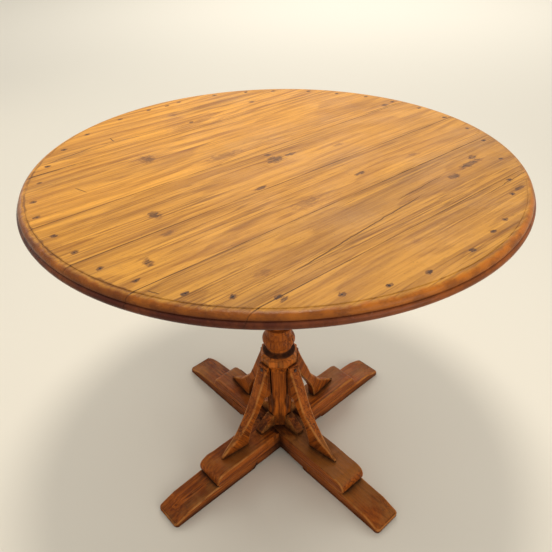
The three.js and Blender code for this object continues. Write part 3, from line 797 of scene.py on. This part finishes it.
def rim_tone(n, plan, front, low, near_end, rubbed, streak, shade, settings):
    """The moulded rim: orange slope, dark bead, a painted sheen on the bead at the front, and darker towards
    the near end.
    """
    rim = n.mix(low, settings.rim_colour, settings.bead_colour)
    # The front of the bead gets a painted sheen.
    rim = n.laid(rim, n.times(n.spread(front, -0.36, -0.445), low), 0.7, PAINTED_BEAD_SHEEN)
    rim = n.laid(rim, n.spread(rubbed, 0.40, 0.62), 0.5, settings.rim_shade)
    rim = n.laid(rim, streak, 0.35, shade)
    chipped = n.spread(n.noise(plan, 28.0, 4.0, 0.65), 0.3, 0.6, 0.45, 1.0)
    # The rim is darker towards the near end of the grain, at the front left.
    near_end_dark = n.times(near_end, n.plus(0.62, n.times(low, 0.36)))
    return n.mix(n.times(near_end_dark, chipped), rim, settings.rim_shade)


def board_material(index, settings):
    """One board of the top: waxed face, its own knots and splits, and the darker moulded rim."""
    material, n, shader = new_material(f"top_board_{index}")
    painted_light_tint, pitch, _ = BOARD_LOOKS[index - 1]
    place = n.place()
    turn = (0, 0, math.radians(-GRAIN_TURN))
    plan = n.add("ShaderNodeMapping", {"Vector": place, "Rotation": turn}).outputs[0]
    # The painted light tint makes the back-left boards brighter and the front-right ones darker.
    light = [min(1.0, c * painted_light_tint) for c in settings.board_colour]
    shade = [c * painted_light_tint for c in settings.board_shade]
    stain = settings.stain_colour
    grain, tone = grained_wood(n, light, shade, pitch, (0.0, 0.07), 0.035, 0.34, 0.56)
    tone = n.laid(tone, n.clouds(plan, 3.2, 0.42, 0.66), 0.3, SUNNED)
    tone = n.laid(tone, n.clouds(n.stretched(plan, (2.5, 14.0, 1.0)), 1.0, 0.5, 0.72), 0.3, SMOKY)

    marks, splits = board_marks(n, plan, index), board_splits(n, plan, index)
    fibres = n.noise(n.stretched(plan, (60.0, 380.0, 1.0)), 1.0, 4.0, 0.65)
    fibres = n.spread(fibres, 0.36, 0.62, 0.35, 1.0)
    tone = n.laid(tone, n.spread(marks, 0.0, 0.55), 0.5, KNOT_HALO)
    tone = n.laid(tone, n.times(n.spread(marks, 0.22, 0.62), fibres), 0.92, stain)
    pits = n.spread(n.noise(n.stretched(plan, (210.0, 520.0, 1.0)), 1.0, 2.0, 0.5), 0.70, 0.77)
    tone = n.laid(tone, pits, 0.75, PIT)
    tone = n.laid(tone, splits, 0.9, stain)

    xyz = n.axes(plan)
    front = n.axes(place)["Y"]
    reach = n.plus(n.reach(xyz["X"], xyz["Y"]), n.wander(n.noise(plan, 60.0, 3.0), 0.010))
    near_end = n.spread(n.math("DIVIDE", xyz["X"], TOP_RADIUS), -0.25, -0.72)
    moulded = n.spread(reach, TOP_RADIUS - 0.0155, TOP_RADIUS - 0.0075)
    rubbed = n.noise(n.stretched(plan, (30, 30, 60)), 1.0, 4.0, 0.65)
    low = n.spread(xyz["Z"], TABLE_HEIGHT - 0.0085, TABLE_HEIGHT - 0.0125)
    fresh = n.times(n.spread(front, -0.25, 0.1, 0.0, 0.75), n.less(1.0, low))
    rim = rim_tone(n, plan, front, low, near_end, rubbed, grain["Streak"], shade, settings)
    tone = n.mix(n.times(moulded, n.less(1.0, fresh)), tone, rim)

    quirk = n.times(n.spread(reach, TOP_RADIUS - 0.0195, TOP_RADIUS - 0.0165),
                    n.spread(reach, TOP_RADIUS - 0.0125, TOP_RADIUS - 0.015))
    # Painted shade along the quirk, heaviest towards the near end.
    quirk_shade = n.spread(n.noise(plan, 14.0, 4.0, 0.65), 0.4, 0.6, 0.15, 1.0)
    quirk_shade = n.times(quirk_shade, n.plus(0.12, n.times(near_end, 0.5)))
    tone = n.mix(n.times(quirk, quirk_shade), tone, settings.rim_shade)
    under = n.spread(n.facing(), -0.8, -0.95)
    tone = n.laid(tone, under, 0.8, UNPOLISHED)
    packed = n.spread(n.noise(n.stretched(plan, (7, 1, 1)), 1.0, 4.0, 0.65), 0.36, 0.58, 0.3, 1.0)
    packed = n.times(packed, n.less(1.0, n.times(moulded, 0.65)))
    tone = n.laid(tone, n.times(board_joints(n, xyz["Y"], index), packed), 0.82, stain)

    sheen = n.plus(0.40, n.times(n.clouds(plan, 9.0, 0.3, 0.7), 0.16))
    sheen = n.plus(n.less(sheen, n.times(moulded, 0.16)), n.times(under, 0.3))
    surface(n, shader, tone, sheen)
    height = n.less(n.less(grain["Height"], n.times(marks, 0.8)), n.times(splits, 3.0))
    rough_rim = n.times(n.times(rubbed, moulded), n.plus(1.0, n.times(near_end, 3.0)))
    raise_bump(n, shader, n.plus(height, n.times(rough_rim, 1.4)), 0.55, 0.0006)
    wax(n, shader, 0.15, 0.3, 0.07, under)
    return material


def mask_painted_shade(n, place, neck):
    """Masks the painted shade in the corners and joints and round the middle of the base, and the dark grime
    at the neck.
    """
    # The occlusion finds the corners and joints, which get painted shade.
    corner = n.add("ShaderNodeAmbientOcclusion", {"Distance": 0.06}, samples=8)
    # Painted shade round the middle of the base, in streaks, where the post, ribs and struts crowd together.
    from_middle = n.stretched(n.vector("SUBTRACT", place, (0, 0, 0.09)), (1.0, 1.0, 0.9))
    middle = n.spread(n.vector("LENGTH", from_middle, output=1), 0.115, 0.06)
    streaks = n.noise(n.stretched(place, (70.0, 70.0, 18.0)), 1.0, 5.0, 0.6)
    middle_shade = n.times(middle, n.spread(streaks, 0.40, 0.62))
    masks = [n.spread(corner.outputs["AO"], 0.84, 0.42), n.times(middle_shade, 0.8)]
    if neck:
        groove = n.math("ABSOLUTE", n.less(n.axes(place)["Z"], CAPITAL_TOP + 0.006))
        masks.append(n.times(n.spread(groove, 0.008, 0.003), neck))
    return n.times(n.most(masks), n.spread(n.noise(place, 55.0, 3.0), 0.2, 0.55, 0.7, 1.0))


def base_material(name, settings, ring_pitch, rings=0.25, neck=0.0, painted_light_gain=1.0, worn_highlight_share=0.6):
    """Waxed red-brown wood of the base, rubbed bright on its edges as wear with a painted highlight, and with
    painted shade in its corners.
    """
    material, n, shader = new_material(name)
    place = n.place()
    # The painted light gain brightens the wood colour for the light on the part.
    light = [c * painted_light_gain for c in settings.wood_colour]
    grain, tone = grained_wood(
        n, light, settings.wood_shade, ring_pitch, (0.01, 0.03), 0.02, rings, 0.8, lines=1.5
    )
    patches = n.clouds(place, 11.0, 0.4, 0.66)
    tone = n.laid(tone, patches, 0.45, OLD_WAX)
    facing = n.facing()
    # Upward faces are painted darker in cloudy patches.
    darker_tops = n.times(n.spread(facing, 0.6, 0.95), n.clouds(place, 14.0, 0.3, 0.6))
    tone = n.laid(tone, darker_tops, 0.45, settings.wood_shade)
    tanned = n.times(n.spread(facing, 0.4, 0.95), n.clouds(place, 8.0, 0.42, 0.6))
    tanned = n.times(tanned, n.spread(n.axes(place)["Z"], 0.2, 0.12))
    tone = n.laid(tone, tanned, 0.5, TANNED)
    # The rounded edges are painted brighter, as wear and as a painted highlight.
    rubbed = n.times(n.written("crest"), n.spread(n.noise(place, 38.0, 4.0, 0.6), 0.30, 0.58))
    tone = n.laid(tone, rubbed, worn_highlight_share, settings.worn_highlight_colour)
    # Painted shade in the corners and round the middle, with grime at the neck, laid in a near-black colour.
    shade_and_grime = mask_painted_shade(n, place, neck)
    tone = n.laid(tone, shade_and_grime, 0.9, settings.shade_grime_colour)

    sheen = n.plus(n.plus(0.36, n.times(patches, 0.14)), n.times(shade_and_grime, 0.35))
    surface(n, shader, tone, n.less(sheen, n.times(rubbed, 0.08)))
    dents = n.noise(place, 70.0, 3.0, 0.55)
    raise_bump(n, shader, n.plus(grain["Height"], n.times(dents, 1.3)), 0.75, 0.0011)
    wax(n, shader, 0.1, 0.25, 0.04, shade_and_grime)
    return material


def raw_material(name, settings, ring_pitch):
    """Unpolished wood under the top, matt and dusty."""
    material, n, shader = new_material(name)
    grain, tone = grained_wood(
        n, settings.wood_colour, settings.wood_shade, ring_pitch, (0.02, 0.05), 0.02, 0.4, 0.55
    )
    patches = n.clouds(n.place(), 7.0, 0.4, 0.68)
    tone = n.laid(tone, patches, 0.4, DUSTY_PATCH)
    tone = n.laid(tone, n.written("crest"), 0.35, PALE_EDGE)
    surface(n, shader, tone, n.plus(0.62, n.times(patches, 0.2)))
    raise_bump(n, shader, grain["Height"], 0.7, 0.0008)
    return material


def iron_material(name, settings):
    """Old blackened iron with brown rust in patches."""
    material, n, shader = new_material(name)
    place = n.place()
    rust = n.spread(n.noise(place, 260.0, 4.0, 0.6), 0.45, 0.62)
    surface(n, shader, n.mix(rust, settings.iron_colour, RUST), n.plus(0.45, n.times(rust, 0.35)))
    n.put(n.less(0.8, n.times(rust, 0.7)), shader.inputs["Metallic"])
    raise_bump(n, shader, n.noise(place, 700.0, 4.0, 0.6), 0.5, 0.0004)
    return material


def end_grain_material(name):
    """Dark end grain of the pegs and the wedge."""
    material, n, shader = new_material(name)
    fibres = n.noise(n.place(), 900.0, 3.0, 0.6)
    tone = n.mix(n.spread(fibres, 0.35, 0.65), END_GRAIN, END_GRAIN_SHADE)
    surface(n, shader, tone, n.plus(0.45, n.times(fibres, 0.3)))
    raise_bump(n, shader, fibres, 0.5, 0.0004)
    return material


def floor_material(settings):
    material, _, shader = new_material("floor_plain")
    shader.inputs["Base Color"].default_value = (*settings.floor_colour, 1.0)
    shader.inputs["Roughness"].default_value = 0.7
    shader.inputs["Specular IOR Level"].default_value = 0.2
    return material


# ---------------------------------------------------------------- pieces


def rim_profile():
    """From the underside round the bead, over the thumb moulding and the quirk to the flat."""
    flat_edge = TOP_RADIUS - RIM_WIDTH
    thumb_radius, thumb_height = TOP_RADIUS - 0.0038, TOP_UNDERSIDE + 2 * BEAD + 0.001
    points = [(TOP_RADIUS - BEAD - 0.004, TOP_UNDERSIDE + 0.0002)]
    for step in range(0, 10):
        angle = math.radians(-90 + 20 * step)
        points.append((TOP_RADIUS - BEAD + BEAD * math.cos(angle) * 0.985,
                       TOP_UNDERSIDE + BEAD + 0.0002 + (BEAD - 0.0002) * math.sin(angle)))
    points.append((thumb_radius - 0.0015, thumb_height - 0.0008))
    for step in range(0, 9):
        angle = math.radians(11.25 * step)
        radius = flat_edge + 0.0014 + (thumb_radius - flat_edge - 0.0014) * math.cos(angle)
        points.append((radius, thumb_height + (FACE - 0.0009 - thumb_height) * math.sin(angle)))
    points += [(flat_edge + 0.0006, FACE - 0.0012), (flat_edge, FACE - 0.0009),
               (flat_edge - 0.0006, FACE - 0.0001), (flat_edge - 0.0016, FACE)]
    return points


class TABLE_OT_boards(bpy.types.Operator):
    """Builds the six boards of the top from one moulded disc, sawn along the joints"""

    bl_idname = "table.build_boards"
    bl_label = "Boards"

    def execute(self, context):
        settings = context.scene.table_top
        disc = turned("board_blank", rim_profile(), settings.rim_steps)
        along = direction(GRAIN_TURN)
        across = Vector((-along.y, along.x, 0))
        edges = [-TOP_RADIUS, *JOINTS, TOP_RADIUS]
        for i, node in enumerate(BOARDS):
            board = copy_of(disc, f"board_{i + 1}")
            start, end = edges[i], edges[i + 1]
            cuts = []
            if i > 0:
                cuts.append(start + SAW_GAP)
                cut(board, across * cuts[-1], across, inner=True, fill=True)
            if i < len(JOINTS):
                cuts.append(end - SAW_GAP)
                cut(board, across * cuts[-1], across, outer=True, fill=True)
            for share in (0.25, 0.5, 0.75):
                cut(board, across * (start + (end - start) * share), across)
            for step in range(-5, 6):
                cut(board, along * (step * 0.078 + 0.011 * i), along)
            points = board.data.vertices

            def on_joint(edge):
                ends = [points[k].co for k in edge.vertices]
                beside = any(all(abs(p.dot(across) - c) < 2e-5 for p in ends) for c in cuts)
                return beside and all(p.z > FACE - 1e-4 for p in ends)

            def on_face(vertex):
                inside = vertex.co.z > FACE - 1e-5 and vertex.co.xy.length < TOP_RADIUS - 0.025
                return inside and all(abs(vertex.co.dot(across) - c) > 0.004 for c in cuts)

            round_edges(board, settings.edge_ease, select=on_joint)
            open_mesh(board, "VERT", select=on_face)
            bpy.ops.transform.vertex_random(offset=settings.unevenness, uniform=0.0, normal=1.0, seed=11 + i)
            close_mesh()
            self.centre_pith(board, i)
            complete(board, board_material(i + 1, settings), 30, "top_wood", node)
        bpy.data.objects.remove(disc)
        return {"FINISHED"}

    @staticmethod
    def centre_pith(board, index):
        """Lays the rings so that each board's arches open along its own middle."""
        turn = Matrix.Rotation(math.radians(-GRAIN_TURN), 3, "Z")
        offset = BOARD_LOOKS[index][2]
        values = []
        for vertex in board.data.vertices:
            place = turn @ vertex.co
            values.extend(
                (place.x + 3.7 * index, place.y - offset, (place.z - TABLE_HEIGHT) + 0.012 * place.x)
            )
        write_on(board, "timber", values)


class TABLE_OT_nails(bpy.types.Operator):
    """Makes one iron nail and sets a copy at each place along the rim"""

    bl_idname = "table.build_nails"
    bl_label = "Nails"

    def execute(self, context):
        settings = context.scene.table_nails
        iron = iron_material("old_iron", settings)
        radius = settings.head_radius
        crown = TABLE_HEIGHT - 0.00035
        profile = [
            (radius * 0.30, crown - 0.012), (radius * 0.42, crown - 0.004), (radius * 0.5, crown - 0.002),
            (radius, crown - 0.0012), (radius, crown - 0.0006), (radius * 0.82, crown - 0.0002),
            (radius * 0.45, crown),
        ]
        model = turned("nail_model", profile, 14)
        smooth(model, 40, weighted=False)
        dress(model, iron)
        chance = random.Random(5)
        for i, (angle, distance) in enumerate(NAILS):
            nail = copy_of(model, f"nail_{i + 1:02d}")
            turn = math.radians(angle + GRAIN_TURN)
            place = Vector((math.cos(turn), math.sin(turn), 0)) * (distance / 1000)
            open_mesh(nail, "VERT")
            wide, narrow = chance.uniform(0.85, 1.2), chance.uniform(0.75, 1.05)
            bpy.ops.transform.resize(value=(wide, narrow, 1), center_override=(0, 0, crown))
            bpy.ops.transform.rotate(
                value=chance.uniform(0, 3), orient_axis="Z", center_override=(0, 0, crown)
            )
            move_selected(place.x, place.y, 0)
            close_mesh()
            hand_over(nail, "iron")
        bpy.data.objects.remove(model)
        return {"FINISHED"}


class TABLE_OT_underframe(bpy.types.Operator):
    """Eases the edges of the ring, battens, bearers and head block under the top"""

    bl_idname = "table.build_underframe"
    bl_label = "Underframe"

    def execute(self, context):
        settings = context.scene.table_frame
        raw = raw_material("raw_wood", settings, 0.008)
        turns = {f"ring_segment_{i + 1}": GRAIN_TURN + 45 * (i + 0.5) + 90 for i in range(8)}
        turns.update(batten_left=GRAIN_TURN + 90, batten_right=GRAIN_TURN + 90)
        turns.update(bearer_under=45, bearer_over=135, head_block=45)
        for i, (node, turn) in enumerate(turns.items()):
            piece = merged_copy(node, f"{node}_wood")
            round_edges(piece, 0.0012, segments=3)
            lay_grain(piece, turn, seed=200 + i)
            complete(piece, raw, 38, "frame_wood", node)
        return {"FINISHED"}


class TABLE_OT_column(bpy.types.Operator):
    """Shapes the eight-sided post from the frame and turns the ball and shaft above it"""

    bl_idname = "table.build_column"
    bl_label = "Column"

    def execute(self, context):
        settings = context.scene.table_base
        post = merged_copy("column", "post")
        cut(post, (0, 0, CAPITAL_TOP - 0.0001), (0, 0, 1), outer=True, fill=True)
        open_mesh(post, "FACE", select=lambda f: abs(f.normal.z) < 0.1 and POST_FOOT < f.center.z < 0.24
                  and max(abs(f.normal.x), abs(f.normal.y)) > 0.97 and f.area > 0.002)
        bpy.ops.mesh.inset(thickness=0.0045, depth=-0.0012, use_individual=True)
        bpy.ops.mesh.inset(thickness=0.003, depth=-0.0008, use_individual=True)
        close_mesh()
        round_edges(post, 0.0012, segments=3, sharpness=20)
        lay_grain(post, 0, seed=300, tilt=90)
        # The post is painted 1.45 times as bright for the light on it, with a smaller share of worn edge and
        # highlight.
        post_wood = base_material("post_wood", settings, 0.006, neck=0.9, painted_light_gain=1.45, worn_highlight_share=0.225)
        complete(post, post_wood, 32, "base_wood", "column")

        shaft = turned("turned_shaft", self.shaft_profile(), 96)
        lay_grain(shaft, 0, seed=301, tilt=90)
        shaft_wood = base_material("shaft_wood", settings, 0.007, rings=0.12, neck=1.0)
        complete(shaft, shaft_wood, 40, "base_wood", "column")
        return {"FINISHED"}

    @staticmethod
    def shaft_profile():
        """Collar, groove, ball, ring, vase, upper ring and head, up to the tenon."""
        ball_centre = CAPITAL_TOP + 0.033
        neck, ball, half = 0.029, 0.037, 0.024
        lowest = math.acos(neck / ball)
        points = [(0.036, CAPITAL_TOP - 0.001), (0.037, CAPITAL_TOP), (0.037, CAPITAL_TOP + 0.0015),
                  (0.036, CAPITAL_TOP + 0.004), (0.0345, CAPITAL_TOP + 0.005), (0.030, CAPITAL_TOP + 0.0068),
                  (neck, CAPITAL_TOP + 0.0085)]
        for step in range(0, 19):
            angle = -lowest + 2 * lowest * step / 18
            points.append((ball * math.cos(angle), ball_centre + half * math.sin(angle)))
        foot = ball_centre + 0.028
        waist, ring = 0.023, 0.031
        points += [(neck - 0.002, foot - 0.002), (neck - 0.002, foot), (ring - 0.001, foot + 0.001),
                   (ring, foot + 0.003), (ring, foot + 0.007), (ring - 0.001, foot + 0.009),
                   (waist + 0.001, foot + 0.011)]
        vase_foot, vase_top = ball_centre + 0.044, SHAFT_TOP - 0.056
        stations = ((0.0, waist), (0.08, 0.0262), (0.16, 0.0318), (0.24, 0.0352), (0.30, 0.036),
                    (0.38, 0.0352),
                    (0.48, 0.0325), (0.60, 0.0288), (0.72, 0.0258), (0.84, 0.0238),
                    (0.94, 0.0229), (1.0, waist))
        points += [(radius, vase_foot + (vase_top - vase_foot) * share) for share, radius in stations]
        points += [(waist + 0.001, SHAFT_TOP - 0.0535), (ring - 0.001, SHAFT_TOP - 0.0525),
                   (ring, SHAFT_TOP - 0.051), (ring, SHAFT_TOP - 0.046), (ring - 0.001, SHAFT_TOP - 0.0445),
                   (waist + 0.003, SHAFT_TOP - 0.041), (waist + 0.003, SHAFT_TOP - 0.036),
                   (waist + 0.0042, SHAFT_TOP - 0.028), (waist + 0.008, SHAFT_TOP - 0.020),
                   (0.037, SHAFT_TOP - 0.014), (0.0395, SHAFT_TOP - 0.012), (0.040, SHAFT_TOP - 0.011),
                   (0.040, SHAFT_TOP - 0.001), (0.0392, SHAFT_TOP), (0.019, SHAFT_TOP), (0.019, BEARER_TOP)]
        return points


class TABLE_OT_foot(bpy.types.Operator):
    """Rounds and colours the beams, ribs and struts of the base"""

    bl_idname = "table.build_foot"
    bl_label = "Foot"

    def execute(self, context):
        settings = context.scene.table_base
        # The beams, ribs and struts are painted a little brighter by the painted light gain.
        wood = base_material("base_wood", settings, 0.009, painted_light_gain=1.12)
        turns = {
            "lower_beam_under": 45, "lower_beam_over": 135, "upper_beam_under": 45, "upper_beam_over": 135,
        }
        for i, (node, turn) in enumerate(turns.items()):
            beam = merged_copy(node, f"{node}_timber")
            round_edges(beam, settings.edge_round, segments=4, keep=self.outline(beam, direction(turn)))
            hew(beam, direction(turn), 0.022, 0.0042)
            lay_grain(beam, turn, seed=400 + i)
            complete(beam, wood, 40, "base_wood", node)
        for i, turn in enumerate(ARMS):
            rib = merged_copy(f"rib_{i + 1}", f"curved_rib_{i + 1}")
            low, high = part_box(f"rib_peg_{i + 1}")
            peg = (Vector(low) + Vector(high)) / 2
            round_edges(rib, 0.0042, segments=4, sharpness=32,
                        keep=lambda middle: (middle - peg).length > 0.02)
            hew(rib, Vector((0, 0, 1)), 0.014, 0.0034)
            lay_grain(rib, turn, seed=410 + i, tilt=58)
            complete(rib, wood, 34, "base_wood", f"rib_{i + 1}")
            strut = merged_copy(f"strut_{i + 1}", f"short_strut_{i + 1}")
            round_edges(strut, 0.0026, segments=4, sharpness=30)
            lay_grain(strut, turn, seed=420 + i, tilt=40)
            complete(strut, wood, 34, "base_wood", f"strut_{i + 1}")
        return {"FINISHED"}


    @staticmethod
    def outline(beam, along):
        """Passes the edges along a beam's sides and round its ends, clear of the floor, joint and holes."""
        across = Vector((-along.y, along.x, 0))
        half = max(abs(v.co.dot(across)) for v in beam.data.vertices)
        reach = max(abs(v.co.dot(along)) for v in beam.data.vertices)

        def passes(middle):
            if middle.z < 0.004:
                return False
            beside = abs(middle.dot(across)) > half - 0.001 and abs(middle.dot(along)) > 0.042
            return beside or abs(middle.dot(along)) > reach - 0.03

        return passes


class TABLE_OT_fastenings(bpy.types.Operator):
    """Rounds the pegs and the wedge, and colours the screws"""

    bl_idname = "table.build_fastenings"
    bl_label = "Fastenings"

    def execute(self, context):
        dark, iron = end_grain_material("peg_wood"), bpy.data.materials["old_iron"]
        for i in range(1, 5):
            self.ease(f"rib_peg_{i}", f"dark_peg_{i}", 0.0008, 3, dark, "peg_wood")
        self.ease("tenon_wedge", "dark_wedge", 0.0006, 3, dark, "peg_wood")
        for kind in ("head_screw", "beam_screw"):
            for i in range(1, 5):
                self.ease(f"{kind}_{i}", f"{kind}_{i}_iron", 0.0005, 2, iron, "iron")
        return {"FINISHED"}

    @staticmethod
    def ease(node, name, width, segments, material, slot):
        """Rounds a copy of one fastening and completes it."""
        piece = merged_copy(node, name)
        round_edges(piece, width, segments)
        complete(piece, material, 40, slot, node)


class TABLE_OT_stage(bpy.types.Operator):
    """Lays the floor, hangs the lights and sets the camera"""

    bl_idname = "table.build_stage"
    bl_label = "Stage"

    def execute(self, context):
        settings = context.scene.table_stage
        deselect_all()
        bpy.ops.mesh.primitive_plane_add(size=40, location=(0, 0, -0.0005))
        floor = named(context.object, "floor")
        bpy.ops.object.transform_apply(location=True, rotation=True, scale=True)
        dress(floor, floor_material(settings))
        self.lamp("lamp_over", (0.02, 0.16, 2.6), (0, 0, 0.3), 0.5, settings.lamp_power, (1.0, 0.955, 0.88))
        self.lamp("window_right", (2.3, -2.1, 1.5), (0, 0, 0.35), 1.8,
                  settings.window_power, (1.0, 0.95, 0.88))
        self.lamp("wall_left", (-2.5, 1.9, 1.75), (-0.3, 0.1, 0.7), 1.7,
                  settings.wall_power, (1.0, 0.93, 0.82))
        self.lamp("lamp_far", (0.6, 6.2, 4.2), (0.6, 6.6, 0), 5.5, settings.far_power, (1.0, 0.99, 0.97))
        world = bpy.data.worlds.new("room_light")
        world.use_nodes = True
        sky = world.node_tree.nodes["Background"]
        sky.inputs[0].default_value = (1.0, 0.985, 0.955, 1.0)
        sky.inputs[1].default_value = settings.sky_strength
        context.scene.world = world
        context.scene.view_settings.view_transform = "Standard"

        camera = bpy.data.objects.new("camera", bpy.data.cameras.new("camera"))
        context.scene.collection.objects.link(camera)
        camera.data.sensor_width = 36.0
        camera.data.lens = 567 / 552 * 36.0
        tilt = Euler((math.radians(90 - 35.02), 0, math.radians(3.17)), "XYZ").to_matrix()
        camera.rotation_euler = (tilt @ Matrix.Rotation(math.radians(-1.31), 3, "Z")).to_euler()
        camera.location = (0.0505, -0.9627, 1.170)
        context.scene.camera = camera
        return {"FINISHED"}

    @staticmethod
    def lamp(name, place, target, size, power, colour):
        light = bpy.data.lights.new(name, "AREA")
        light.shape = "DISK"
        light.size = size
        light.energy = power
        light.color = colour
        holder = bpy.data.objects.new(name, light)
        bpy.context.scene.collection.objects.link(holder)
        holder.location = place
        holder.rotation_euler = (Vector(target) - Vector(place)).to_track_quat("-Z", "Y").to_euler()


class TABLE_PT_panel(bpy.types.Panel):
    """Lists the table's settings and building steps"""

    bl_idname = "TABLE_PT_panel"
    bl_label = "Round Pedestal Table"
    bl_space_type = "VIEW_3D"
    bl_region_type = "UI"
    bl_category = "Table"

    def draw(self, context):
        for label, name, group in SETTINGS:
            box = self.layout.box()
            box.label(text=label)
            for setting in group.__annotations__:
                box.prop(getattr(context.scene, name), setting)
        for operator in STEPS:
            self.layout.operator(operator.bl_idname)


SETTINGS = (
    ("Top", "table_top", TopSettings),
    ("Nails", "table_nails", NailSettings),
    ("Base", "table_base", BaseSettings),
    ("Underframe", "table_frame", FrameSettings),
    ("Stage", "table_stage", StageSettings),
)
STEPS = (
    TABLE_OT_boards, TABLE_OT_nails, TABLE_OT_underframe, TABLE_OT_column, TABLE_OT_foot,
    TABLE_OT_fastenings, TABLE_OT_stage,
)
GROUPS = (wood_grain_group, cloud_group, mark_group, split_group, nail_stain_group, wood_tone_group)


def register():
    for _, _, group in SETTINGS:
        bpy.utils.register_class(group)
    for operator in STEPS:
        bpy.utils.register_class(operator)
    bpy.utils.register_class(TABLE_PT_panel)
    for _, name, group in SETTINGS:
        setattr(bpy.types.Scene, name, PointerProperty(type=group))


def unregister():
    for _, name, _ in SETTINGS:
        delattr(bpy.types.Scene, name)
    bpy.utils.unregister_class(TABLE_PT_panel)
    for operator in reversed(STEPS):
        bpy.utils.unregister_class(operator)
    for _, _, group in reversed(SETTINGS):
        bpy.utils.unregister_class(group)


def main():
    register()
    for build_group in GROUPS:
        build_group()
    for operator in STEPS:
        family, name = operator.bl_idname.split(".")
        getattr(getattr(bpy.ops, family), name)()
    deselect_all()


if __name__ == "__main__":
    main()
